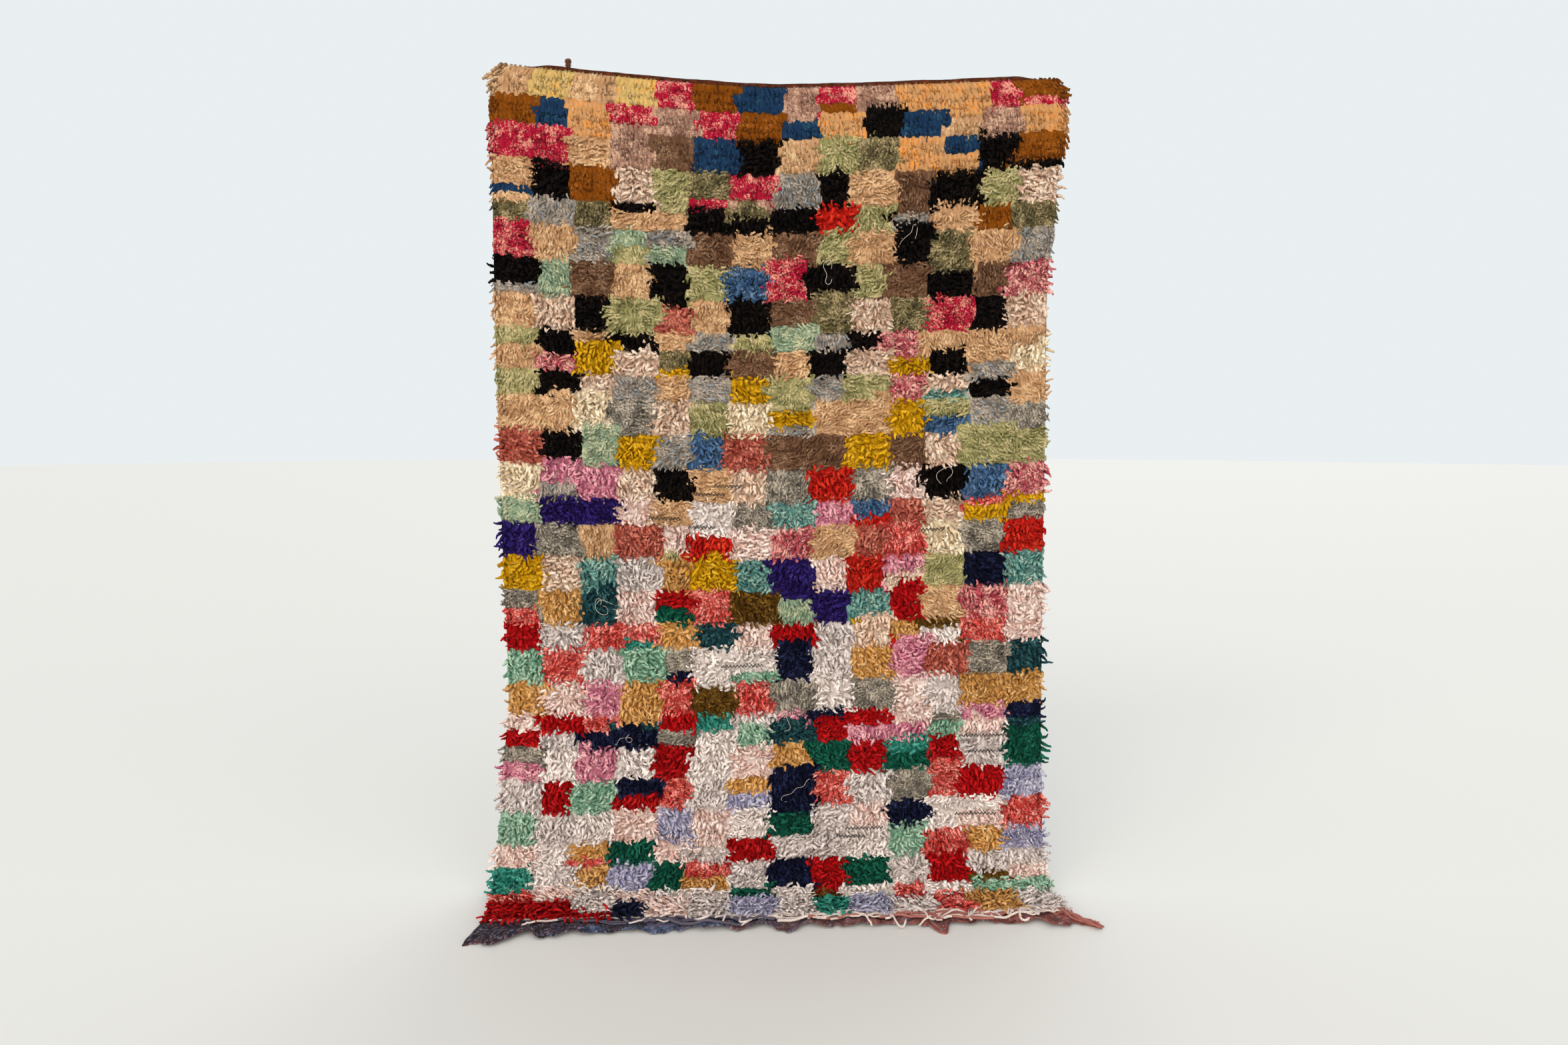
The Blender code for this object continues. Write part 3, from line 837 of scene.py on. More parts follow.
@dataclass(frozen=True)
class PlainWeave:
    """Weft-faced plain weave in wool: fine ribs along the weft, uneven dye, a little fuzz.

    The dyes run from the left to the right of the cloth, and the pick and the end are the thread spacings.
    """

    name: str
    dyes: Stops
    stripe: str
    fleck: str
    pick: float = 0.0022
    end: float = 0.0042
    half_width: float = 0.65

    def material(self) -> Material:
        """Builds the material, which reads the cloth's own UV map, in metres along and across the weft.

        Returns:
            The material.
        """
        material, tree, shader = new_material(self.name)
        add = partial(add_node, tree)
        uv = add(UV_MAP, uv_map="weave")
        split = add("ShaderNodeSeparateXYZ", {"Vector": uv})
        across = add(RANGE, [split.outputs["X"], -self.half_width, self.half_width, -0.40, 0.62])
        wander = add(NOISE, {"Vector": uv, "Scale": 24.0, "Detail": 3.0})
        moved = add(MATH, [wander, 0.85], **TIMES)
        share = add(MATH, [across, moved], operation="ADD", use_clamp=True)
        drawn = add(VECTOR_MATH, [uv, (2.0, 150.0, 1.0)], **TIMES)
        bands = add(NOISE, {"Vector": drawn, "Scale": 1.0, "Detail": 2.0})
        striped = add(RANGE, [bands, 0.56, 0.68, 0.0, 0.7])
        stripes = add(MIX, {
            0: striped, 6: add_ramp(tree, share, self.dyes), 7: linear(self.stripe),
        }, **BLEND)
        specks = add(NOISE, {"Vector": uv, "Scale": 140.0, "Detail": 2.0})
        speckled = add(RANGE, [specks, 0.52, 0.64, 0.0, 0.60])
        blend = add(MIX, {0: speckled, 6: stripes, 7: linear(self.fleck)}, **BLEND)
        mottle = add(NOISE, {"Vector": uv, "Scale": 55.0, "Detail": 3.0})
        uneven = add(RANGE, [mottle, 0.35, 0.65, 0.45, 1.65])
        mottled = add(MIX, {0: 1.0, 6: blend, 7: uneven}, **TINT)
        waves = []
        for axis, spacing in (("X", self.end), ("Y", self.pick)):
            phase = add(MATH, [split.outputs[axis], math.tau / spacing], **TIMES)
            waves.append(add(MATH, [phase], operation="SINE"))
        relief = add(MATH, [waves[0], waves[1]], **TIMES)
        # Painted shade and highlight: the colour darkens in the grooves between the ribs and lightens on
        # their crests
        groove_shading = add(RANGE, [relief, -1.0, 1.0, 0.70, 1.15])
        felted = add(MATH, [specks, 5.0, relief], operation="MULTIPLY_ADD")
        fill_sockets(tree, shader, {
            "Base Color": add(MIX, {0: 1.0, 6: mottled, 7: groove_shading}, **TINT),
            "Normal": add(BUMP, {"Height": felted, "Strength": 0.9, "Distance": 0.0012}),
            "Roughness": 0.9, "Sheen Weight": 0.05, "Specular IOR Level": 0.1,
        })
        return material


@dataclass(frozen=True)
class SpunYarn:
    """Twisted cotton or wool yarn: plies that wind round it, a turn in 6 mm, matt and soiled in places."""

    name: str
    clean: str
    soiled: str
    turn: float = 0.006

    def material(self) -> Material:
        """Builds the material, which reads a UV map that runs round and along each thread in metres.

        Returns:
            The material.
        """
        material, tree, shader = new_material(self.name)
        add = partial(add_node, tree)
        uv = add(UV_MAP, uv_map="ply")
        place = add("ShaderNodeTexCoord").outputs["Object"]
        split = add("ShaderNodeSeparateXYZ", {"Vector": uv})
        along = add(MATH, [split.outputs["Y"], math.tau / self.turn], **TIMES)
        around = add(MATH, [split.outputs["X"], 4 * math.pi], **TIMES)
        phase = add(MATH, [along, around], operation="ADD")
        ply = add(MATH, [phase], operation="SINE")
        dirt = add(NOISE, {"Vector": place, "Scale": 30.0, "Detail": 3.0})
        base = add(MIX, {0: dirt, 6: linear(self.soiled), 7: linear(self.clean)}, **BLEND)
        # Painted shade: the colour darkens in the grooves between the plies
        groove_shading = add(RANGE, [ply, -1.0, 0.4, 0.72])
        fill_sockets(tree, shader, {
            "Base Color": add(MIX, {0: 1.0, 6: base, 7: groove_shading}, **TINT),
            "Normal": add(BUMP, {"Height": ply, "Strength": 0.6, "Distance": 0.0006}),
            "Roughness": 0.9, "Sheen Weight": 0.05,
        })
        return material


def add_object(name: str, mesh: Mesh, material: Material | None) -> Object:
    """Puts a mesh in the scene under a name, with its material.

    Args:
        name: The object's name.
        mesh: Its mesh.
        material: Its material, or None for one without.

    Returns:
        The object.
    """
    if material:
        mesh.materials.clear()
        mesh.materials.append(material)
    obj = bpy.data.objects.new(name, mesh)
    bpy.context.scene.collection.objects.link(obj)
    return obj


class Locks(NamedTuple):
    """The locks of one stretch of pile, as arrays with a row for each lock."""

    place: Array
    out: Array
    lean: Array
    form: Array
    reach: Array
    girth: Array
    yarn: Array
    fleck: Array


@dataclass
class Pile:
    """The knotted pile: every lock of rag or yarn, set on the ground by Geometry Nodes."""

    drape: Drape
    plan: BlockPlan
    seed: int
    root: float = 0.0055
    # The crown's short combed pile, by the share of the length where it ends
    combed_above: float = 0.055
    combed_spread: float = 0.030
    loose_below: float = 0.16
    # How tones, sizes and angles vary
    tone_spread: float = 0.07
    block_spread: float = 0.06
    girth: Pair = (0.85, 1.2)
    unevenness: float = 0.10
    lumps: tuple[float, float, float] = (7.6, 11.1, 0.14)
    flow: Pair = (0.42, 0.80)
    sweep: float = 2.4
    curl: float = 1.3
    angle_spread: float = 0.55
    form_spread: float = 0.16
    drag_deg: Pair = (50, 110)
    half_block: Pair = (1.8, 4.5)
    fan_drop: float = 0.15
    scatter: Pair = (0.42, 0.45)
    # How far a tip lies from its root, in courses and knots, and its length over another colour
    overlap: Pair = (1.0, 2.0)
    trimmed: float = 0.74
    # The sides, where stiff locks stand out in tufts
    rim: float = 0.965
    bristling_share: float = 0.28
    soft_bristling: Pair = (-0.35, 0.25)
    soft_stiffness: Pair = (0.2, 0.4)
    tuft_pace: Pair = (42, 3)
    tuft_gain: float = 0.8
    rim_push: Pair = (0.4, 1.2)
    rim_longer: float = 0.24
    rim_lower: float = 0.25
    lower_from: float = 0.88
    # The two top corners, where locks stand out over the heading's ends
    corner_across: Pair = (0.93, 0.05)
    corner_down: Pair = (0.026, 0.028)
    corner_push: float = 0.70
    corner_longer: float = 0.35
    corner_hang: float = 0.7
    # The ends, where locks hang clear of the heading and lie out over the band
    top_roll: float = 0.006
    top_reach: Pair = (0.03, 0.04)
    least_onward: Pair = (0.3, 0.7)
    foot_reach: float = 0.03
    foot_tilt: float = 0.66
    foot_longer: float = 0.60
    foot_gather: float = 0.4
    stretches: tuple[str, ...] = ("crown", "upper", "middle", "lower", "foot")

    def lay_locks(self) -> list[Locks]:
        """Works out every lock: where it stands, how it leans, its form and its colours.

        Returns:
            The locks of each stretch of the pile, from the top down.
        """
        rng = np.random.default_rng(self.seed)
        plan = self.plan
        starts, count = {}, 0
        for strand, laying in LAYINGS.items():
            starts[strand] = count
            count += len(laying.forms)
        tones = [[np.array(linear(code)[:3]) for code in yarn.tones] for yarn in YARNS]
        flecks = [np.array([*linear(yarn.fleck)[:3], yarn.flecked]) for yarn in YARNS]

        blocks = int(plan.block_at.max()) + 1
        light = 1 + self.block_spread * rng.standard_normal(blocks)
        chance, ease = rng.random(blocks), rng.uniform(-1, 1, blocks)
        drag = np.where(rng.random(blocks) < 0.5, -1, 1) * rng.uniform(*self.drag_deg, blocks)
        bristling = np.where(rng.random(blocks) < self.bristling_share, 1.0,
                             rng.uniform(*self.soft_bristling, blocks))
        size = np.maximum(np.bincount(plan.block_at.ravel(), minlength=blocks), 1)
        course_at, knot_at = np.indices(plan.block_at.shape)
        middle_course = np.bincount(plan.block_at.ravel(), course_at.ravel(), blocks) / size
        middle_knot = np.bincount(plan.block_at.ravel(), knot_at.ravel(), blocks) / size

        rows: list[tuple] = []
        for course, knot in np.ndindex(plan.courses, plan.knots):
            yarn, block = int(plan.yarn_at[course, knot]), int(plan.block_at[course, knot])
            share = (course + 0.5) / plan.courses
            strand = YARNS[yarn].strand
            if middle_course[block] / plan.courses < self.combed_above + self.combed_spread * ease[block]:
                strand = Strand.COMBED
            elif strand is Strand.COMBED and share > self.loose_below:
                strand = Strand.YARN
            laying = LAYINGS[strand]
            passed = np.cumsum(list(laying.lays.values())) > chance[block]
            lay = list(laying.lays)[int(np.argmax(passed))]
            aside = (knot - middle_knot[block]) / self.half_block[1]
            below = (course - middle_course[block]) / self.half_block[0]
            turn = rng.uniform(0, math.tau)
            # Neighbours flow and curl together, as pile does where it has been walked on and brushed
            swept = self.sweep * drift(knot * self.flow[0], course * self.flow[1], 15)
            curled = 0.5 + self.curl * drift(knot * self.flow[0], course * self.flow[1], 16)
            stiff = (bristling[block], 1.0)
            if strand is not Strand.RAG:
                stiff = (min(bristling[block], self.soft_stiffness[0]), self.soft_stiffness[1])
            for lock in range(laying.locks):
                angle = laying.spread_deg * (swept + rng.normal(0, self.angle_spread))
                form = int(np.clip((curled + rng.normal(0, self.form_spread)) * len(laying.forms),
                                   0, len(laying.forms) - 1))
                if lay is Lay.DRAG:
                    angle += drag[block]
                elif lay is Lay.FAN:
                    angle += math.degrees(math.atan2(aside, below + self.fan_drop))
                if rng.random() < laying.against_share:
                    angle += 180
                # Where a tip would lie over another colour the lock is shorter, so blocks keep their edges
                tip_course = course + 0.5 + self.overlap[0] * math.cos(math.radians(angle))
                tip_knot = knot + 0.5 + self.overlap[1] * math.sin(math.radians(angle))
                under = plan.yarn_at[int(np.clip(tip_course, 0, plan.courses - 1)),
                                     int(np.clip(tip_knot, 0, plan.knots - 1))]
                cut = 1.0 if under == yarn else self.trimmed
                where = turn + math.tau * lock / laying.locks
                tone = tones[yarn][int(rng.integers(len(tones[yarn])))]
                rows.append((
                    course, knot + 0.5 + self.scatter[1] * math.cos(where), self.scatter[0] * math.sin(where),
                    angle, starts[strand] + form,
                    cut * (1 + laying.height_spread * rng.uniform(-1, 1)), rng.uniform(*self.girth),
                    *(tone * light[block] * (1 + self.tone_spread * rng.standard_normal())),
                    *flecks[yarn], *stiff,
                ))
        table = np.array(rows)
        return [self.place_locks(part) for part in np.array_split(table, len(self.stretches))]

    def place_locks(self, table: Array) -> Locks:
        """Places a stretch's locks on the hanging cloth.

        Args:
            table: A row for each lock: course, place along it, offset, angle, form, reach, girth, colours,
                how far it bristles at a rim and how much that varies.

        Returns:
            The locks.
        """
        course, knot, offset, angle, form, reach, girth = table[:, :7].T
        bristling, varied = table[:, 14:].T
        across = np.clip(2 * knot / self.plan.knots - 1, -1, 1)
        share = (course + 0.5 + offset) / self.plan.courses
        down = self.drape.course_line(across, share)
        down = down - self.top_roll * (1 - smooth(down / self.top_reach[0]))
        place = self.drape.points(across, down, self.root)
        out = self.drape.out_of_back(across, down)
        warp = self.drape.along_warp(across, down)
        weft = np.stack([np.ones_like(across), np.zeros_like(across), np.zeros_like(across)], axis=-1)

        # Locks near a side are pushed out over it, the stiffest of them far
        edge = smooth((np.abs(across) - self.rim) / (1 - self.rim))
        tufts = drifts(down * self.tuft_pace[0], np.sign(across) * self.tuft_pace[1], 21)
        bristling = bristling + self.tuft_gain * tufts * varied
        angle = np.radians(angle)
        sideways, onward = np.sin(angle), np.cos(angle)
        middle, width = self.corner_down
        start, ease = self.corner_across
        corner = smooth((np.abs(across) - start) / ease) * np.exp(-(((down - middle) / width) ** 2))
        push = edge * (self.rim_push[0] * varied + self.rim_push[1] * bristling)
        sideways = sideways * (1 - edge) + np.sign(across) * push
        sideways += self.corner_push * np.sign(across) * corner
        # At the top they hang down, clear of the heading, and at the foot they lie out over the band
        top = 1 - smooth((down - self.top_reach[0]) / self.top_reach[1])
        least_top, least_foot = self.least_onward
        hanging = top * np.maximum(np.abs(onward), least_top) * (1 - self.corner_hang * corner)
        onward = onward * (1 - top) + hanging
        last = 1 - smooth((self.drape.length(across) - down) / self.foot_reach)
        onward = onward * (1 - last) + last * np.maximum(np.abs(onward), least_foot)
        sideways = sideways * (1 - self.foot_gather * last)
        lean = warp * onward[:, None] + weft * sideways[:, None]
        out = out + self.foot_tilt * last[:, None] * warp
        out /= np.linalg.norm(out, axis=1)[:, None]
        lean -= out * np.sum(lean * out, axis=1)[:, None]
        lean /= np.maximum(np.linalg.norm(lean, axis=1), 1e-6)[:, None]

        lump = self.lumps[2] * drifts(across * self.lumps[0], down * self.lumps[1], 2)
        side = 1 - self.rim_lower * smooth((np.abs(across) - self.lower_from) / 0.12)
        side = side + self.rim_longer * edge * bristling + self.corner_longer * corner
        reach = reach * (1 + lump) * side * (1 + self.foot_longer * last)
        return Locks(place, out, lean, form.astype(int), reach, girth,
                     np.clip(table[:, 7:10], 0, 1), np.clip(table[:, 10:14], 0, 1))

    def nodes(self) -> NodeTree:
        """Builds the tree that sets a lock at each point, each with its own square of a UV map.

        Returns:
            The tree.
        """
        tree = bpy.data.node_groups.new("knotted_pile", "GeometryNodeTree")
        add = partial(add_node, tree)
        for name, kind in (
            ("Knots", "NodeSocketGeometry"), ("Lock Forms", "NodeSocketCollection"),
            ("Lock Reach", "NodeSocketFloat"), ("Lock Girth", "NodeSocketFloat"),
            ("Unevenness", "NodeSocketFloat"), ("Seed", "NodeSocketInt"), ("Map Cells", "NodeSocketFloat"),
            ("Finish", "NodeSocketMaterial"),
        ):
            tree.interface.new_socket(name, in_out="INPUT", socket_type=kind)
        tree.interface.new_socket("Pile", in_out="OUTPUT", socket_type="NodeSocketGeometry")
        given = add("NodeGroupInput").outputs

        def read(name: str, kind: str) -> Node:
            """The node of a named attribute."""
            return add("GeometryNodeInputNamedAttribute", {"Name": name}, data_type=kind)

        forms = add("GeometryNodeCollectionInfo", {
            "Collection": given["Lock Forms"], "Separate Children": True, "Reset Children": True,
        })
        low = add(MATH, [1.0, given["Unevenness"]], operation="SUBTRACT")
        high = add(MATH, [1.0, given["Unevenness"]], operation="ADD")
        uneven = add("FunctionNodeRandomValue", {
            "Min": low, "Max": high, "Seed": given["Seed"],
        }, data_type="FLOAT")
        grown = add(MATH, [read("reach", "FLOAT"), given["Lock Reach"]], **TIMES)
        reach = add(MATH, [grown, uneven], **TIMES)
        girth = add(MATH, [read("girth", "FLOAT"), given["Lock Girth"]], **TIMES)
        locks = add("GeometryNodeInstanceOnPoints", {
            "Points": given["Knots"], "Instance": forms, "Pick Instance": True,
            "Instance Index": read("form", "INT"), "Rotation": read("turn", "QUATERNION"),
            "Scale": add("ShaderNodeCombineXYZ", {"X": girth, "Y": reach, "Z": reach}),
        })
        real = add("GeometryNodeRealizeInstances", {"Geometry": locks})
        spot, cell = (read(name, "FLOAT_VECTOR") for name in ("spot", "cell"))
        shifted = add(VECTOR_MATH, [spot, cell], operation="ADD")
        cells = given["Map Cells"]
        scaled = add(VECTOR_MATH, [shifted, cells], operation="DIVIDE")
        bare = add("GeometryNodeStoreNamedAttribute", {
            "Geometry": real, "Name": "OFBake", "Value": scaled,
        }, data_type="FLOAT2", domain="CORNER")
        for name in ("spot", "cell", "turn", "reach", "girth", "form"):
            bare = add("GeometryNodeRemoveAttribute", {"Geometry": bare, "Name": name})
        finished = add("GeometryNodeSetMaterial", {"Geometry": bare, "Material": given["Finish"]})
        add("NodeGroupOutput", {"Pile": finished})
        return tree

    def knot_mesh(self, name: str, locks: Locks, cells: int) -> Mesh:
        """Builds a mesh of bare points, one for each lock, that carries what the tree reads.

        Args:
            name: The mesh's name.
            locks: The locks.
            cells: How many squares the UV map has to a side.

        Returns:
            The mesh.
        """
        count = len(locks.place)
        mesh = bpy.data.meshes.new(name)
        mesh.vertices.add(count)
        mesh.vertices.foreach_set("co", locks.place.astype(np.float32).ravel())
        turns = np.empty((count, 4))
        for i, (out, lean) in enumerate(zip(locks.out, locks.lean)):
            z, y = Vector(out), -Vector(lean)
            turns[i] = Matrix((y.cross(z), y, z)).transposed().to_quaternion()
        spots = np.arange(count)
        cell = np.stack([spots % cells, spots // cells, np.zeros(count)], axis=-1)
        opaque = np.ones((count, 1))
        for title, kind, field_name, values in (
            ("turn", "QUATERNION", "value", turns), ("cell", "FLOAT_VECTOR", "vector", cell),
            ("reach", "FLOAT", "value", locks.reach), ("girth", "FLOAT", "value", locks.girth),
            ("yarn", "FLOAT_COLOR", "color", np.hstack([locks.yarn, opaque])),
            ("fleck", "FLOAT_COLOR", "color", locks.fleck),
        ):
            layer = mesh.attributes.new(title, kind, "POINT")
            layer.data.foreach_set(field_name, np.asarray(values, dtype=np.float32).ravel())
        mesh.attributes.new("form", "INT", "POINT").data.foreach_set("value", locks.form.astype(np.int32))
        return mesh

    def build(self, finish: Material) -> list[Object]:
        """Builds every stretch of pile as a plain mesh.

        Args:
            finish: The pile's material.

        Returns:
            A piece for each stretch.
        """
        forms = bpy.data.collections.new("lock_forms")
        for strand, laying in LAYINGS.items():
            for form in laying.forms:
                name = f"form_{len(forms.objects):02d}"
                forms.objects.link(bpy.data.objects.new(name, lock_mesh(name, form, laying.rings)))
        tree = self.nodes()
        pieces = []
        for number, (stretch, locks) in enumerate(zip(self.stretches, self.lay_locks())):
            cells = math.ceil(math.sqrt(len(locks.place)))
            obj = add_object(f"pile_{stretch}", self.knot_mesh(f"knots_{stretch}", locks, cells), None)
            modifier = obj.modifiers.new("pile", "NODES")
            modifier.node_group = tree
            values = {"Lock Forms": forms, "Lock Reach": 1.0, "Lock Girth": 1.0,
                      "Unevenness": self.unevenness, "Seed": number, "Map Cells": float(cells),
                      "Finish": finish}
            for item in tree.interface.items_tree:
                if item.in_out == "INPUT" and item.name in values:
                    modifier[item.identifier] = values[item.name]
            graph = bpy.context.evaluated_depsgraph_get()
            mesh = bpy.data.meshes.new_from_object(obj.evaluated_get(graph), depsgraph=graph)
            obj.modifiers.clear()
            obj.data = mesh
            pieces.append(obj)
            LOG.info("%s: %d locks, %d faces", obj.name, len(locks.place), len(mesh.polygons))
        for form in list(forms.objects):
            bpy.data.objects.remove(form)
        bpy.data.collections.remove(forms)
        return pieces


@dataclass
class Bed:
    """The dense feet of the knots, which close the pile under its locks: a domed tuft for each knot."""

    drape: Drape
    plan: BlockPlan
    seed: int = 9
    foot: float = 0.0037
    crest: float = 0.0135
    valley: float = 0.0095
    fuller: float = 0.0040
    unevenness: float = 0.0012
    jitter: float = 0.5
    rim: float = 0.95
    rim_lower: float = 0.55
    end_lower: float = 0.6
    depths: tuple[float, float, float] = (0.42, 0.10, 0.12)

    def build(self, finish: Material) -> Object:
        """Builds the bed as one closed mesh that carries each knot's colours.

        Args:
            finish: Its material.

        Returns:
            The piece.
        """
        rng = np.random.default_rng(self.seed)
        columns, rows = 2 * self.plan.knots, 2 * self.plan.courses
        i, j = np.meshgrid(np.arange(columns + 1), np.arange(rows + 1), indexing="ij")
        inner = (i > 0) & (i < columns) & (j > 0) & (j < rows)
        across = np.clip(2 * (i + self.jitter * rng.uniform(-1, 1, i.shape) * inner) / columns - 1, -1, 1)
        share = (j + self.jitter * rng.uniform(-1, 1, i.shape) * inner) / rows
        down = self.drape.course_line(across, share)
        crest = (i % 2 == 1) & (j % 2 == 1)
        height = np.where(crest, self.crest, self.valley) + self.unevenness * rng.standard_normal(i.shape)
        dense = np.array([yarn.strand is not Strand.RAG for yarn in YARNS])[self.plan.yarn_at]
        dense = dense[np.minimum(j // 2, self.plan.courses - 1), np.minimum(i // 2, self.plan.knots - 1)]
        height = height + self.fuller * dense
        low = 1 - self.rim_lower * smooth((np.abs(across) - self.rim) / (1 - self.rim))
        low = low * np.where((j == 0) | (j == rows), self.end_lower, 1.0)
        top = self.drape.points(across, down, self.foot + (height - self.foot) * low)
        under = self.drape.points(across, down, self.foot)

        bm = bmesh.new()
        yarn = bm.loops.layers.float_color.new("yarn")
        fleck = bm.loops.layers.float_color.new("fleck")
        along = bm.verts.layers.float.new("along")
        tones = [linear(y.tones[0]) for y in YARNS]
        flecks = [(*linear(y.fleck)[:3], y.flecked) for y in YARNS]
        tops = [[bm.verts.new(p) for p in column] for column in top]
        feet = {(p, q): bm.verts.new(under[p, q])
                for p in range(0, columns + 1, 2) for q in range(0, rows + 1, 2)}
        # How deep each point lies in the pile, which shades it as the locks' roots are
        deep = np.where(crest, self.depths[0], self.depths[1]) + self.depths[2] * dense
        for p, column in enumerate(tops):
            for q, vert in enumerate(column):
                vert[along] = deep[p, q]

        def dress(corners: list[BMVert], knot: int, course: int) -> None:
            """Adds a face in the colours of a knot.

            Args:
                corners: The face's corners.
                knot: The knot.
                course: Its course.
            """
            face = bm.faces.new(corners)
            face.smooth = True
            kind = self.plan.yarn_at[min(course, self.plan.courses - 1), min(knot, self.plan.knots - 1)]
            for loop in face.loops:
                loop[yarn], loop[fleck] = tones[kind], flecks[kind]

        for p in range(columns):
            for q in range(rows):
                dress([tops[p][q], tops[p + 1][q], tops[p + 1][q + 1], tops[p][q + 1]], p // 2, q // 2)
        for p in range(0, columns, 2):
            for q in range(0, rows, 2):
                dress([feet[p, q], feet[p, q + 2], feet[p + 2, q + 2], feet[p + 2, q]], p // 2, q // 2)
            for q in (0, rows):
                over = [tops[p + step][q] for step in (2, 1, 0)]
                dress([feet[p, q], feet[p + 2, q], *over], p // 2, q // 2)
        for q in range(0, rows, 2):
            for p in (0, columns):
                over = [tops[p][q + step] for step in (2, 1, 0)]
                dress([feet[p, q], feet[p, q + 2], *over], p // 2, q // 2)
        return add_object("tuft_bed", to_mesh(bm, "tuft_bed"), finish)


@dataclass
class Ground:
    """The woven ground that the pile is knotted on, one thin sheet with raised rows of knots on its back.

    The rows of knots end at flat_turn, in radians round its bend, so that it lies flat on the floor.
    """

    drape: Drape
    plan: BlockPlan
    thickness: float = 0.0034
    knot_row: float = 0.0011
    rows_a_course: int = 3
    knots_a_face: int = 2
    inset: float = 0.0012
    flat_turn: float = 1.2
    edge_map: float = 0.3

    def build(self, finish: Material) -> Object:
        """Builds the sheet as one closed mesh with the knots' colours on it.

        Args:
            finish: Its material.

        Returns:
            The piece.
        """
        columns, courses, step = self.plan.knots // self.knots_a_face, self.plan.courses, self.rows_a_course
        across = np.linspace(-1, 1, columns + 1)
        a, fine = np.meshgrid(across, np.arange(courses * step + 1) / (courses * step), indexing="ij")
        down = self.drape.course_line(a, fine)
        raised = np.where(np.arange(courses * step + 1) % step == 0, 0.0, self.knot_row)
        raised = np.where(self.drape.turn(a, down) > self.flat_turn, 0.0, raised)
        back = self.drape.points(a, down, self.inset - raised)
        front = self.drape.points(a, down, self.thickness)[:, ::step]

        bm = bmesh.new()
        weave = bm.loops.layers.uv.new("weave")
        yarn = bm.loops.layers.float_color.new("yarn")
        colours = [linear(y.tones[0]) for y in YARNS]
        backs = [[bm.verts.new(p) for p in column] for column in back]
        faces = [[bm.verts.new(p) for p in column] for column in front]

        def dress(corners: list[BMVert], places: list[Pair], i: int,
                  j: int) -> None:
            """Adds a face with its colour and its places in knots and courses.

            Args:
                corners: The face's corners.
                places: Where they lie in the weave map.
                i: The face's column.
                j: Its course.
            """
            wide = self.knots_a_face
            face = add_face(bm, corners, weave, [(knot * wide, course) for knot, course in places])
            kind = self.plan.yarn_at[min(j, courses - 1), min(i, columns - 1) * wide]
            for loop in face.loops:
                loop[yarn] = colours[kind]

        for i in range(columns):
            for j in range(courses * step):
                low, high = j / step, (j + 1) / step
                dress([backs[i][j], backs[i][j + 1], backs[i + 1][j + 1], backs[i + 1][j]],
                      [(i, low), (i, high), (i + 1, high), (i + 1, low)], i, j // step)
            for j in range(courses):
                dress([faces[i][j], faces[i + 1][j], faces[i + 1][j + 1], faces[i][j + 1]],
                      [(i, j), (i + 1, j), (i + 1, j + 1), (i, j + 1)], i, j)
            for end, k in ((0, 0), (-1, courses)):
                past = k + self.edge_map
                dress([backs[i][end], backs[i + 1][end], faces[i + 1][end], faces[i][end]],
                      [(i, k), (i + 1, k), (i + 1, past), (i, past)], i, k)
        for i in (0, columns):
            for j in range(courses):
                ring = [backs[i][j * step + k] for k in range(step, -1, -1)] + [faces[i][j], faces[i][j + 1]]
                places = [(i, j + k / step) for k in range(step, -1, -1)]
                places += [(i + self.edge_map, j), (i + self.edge_map, j + 1)]
                dress(ring, places, i, j)
        return add_object("woven_ground", to_mesh(bm, "woven_ground"), finish)


class Coil(NamedTuple):
    """A yarn wrapped round the tied-off end: how high it starts, its climb, its turns and its two radii."""

    height: float
    climb: float
    turns: float
    radius: float
    thick: float


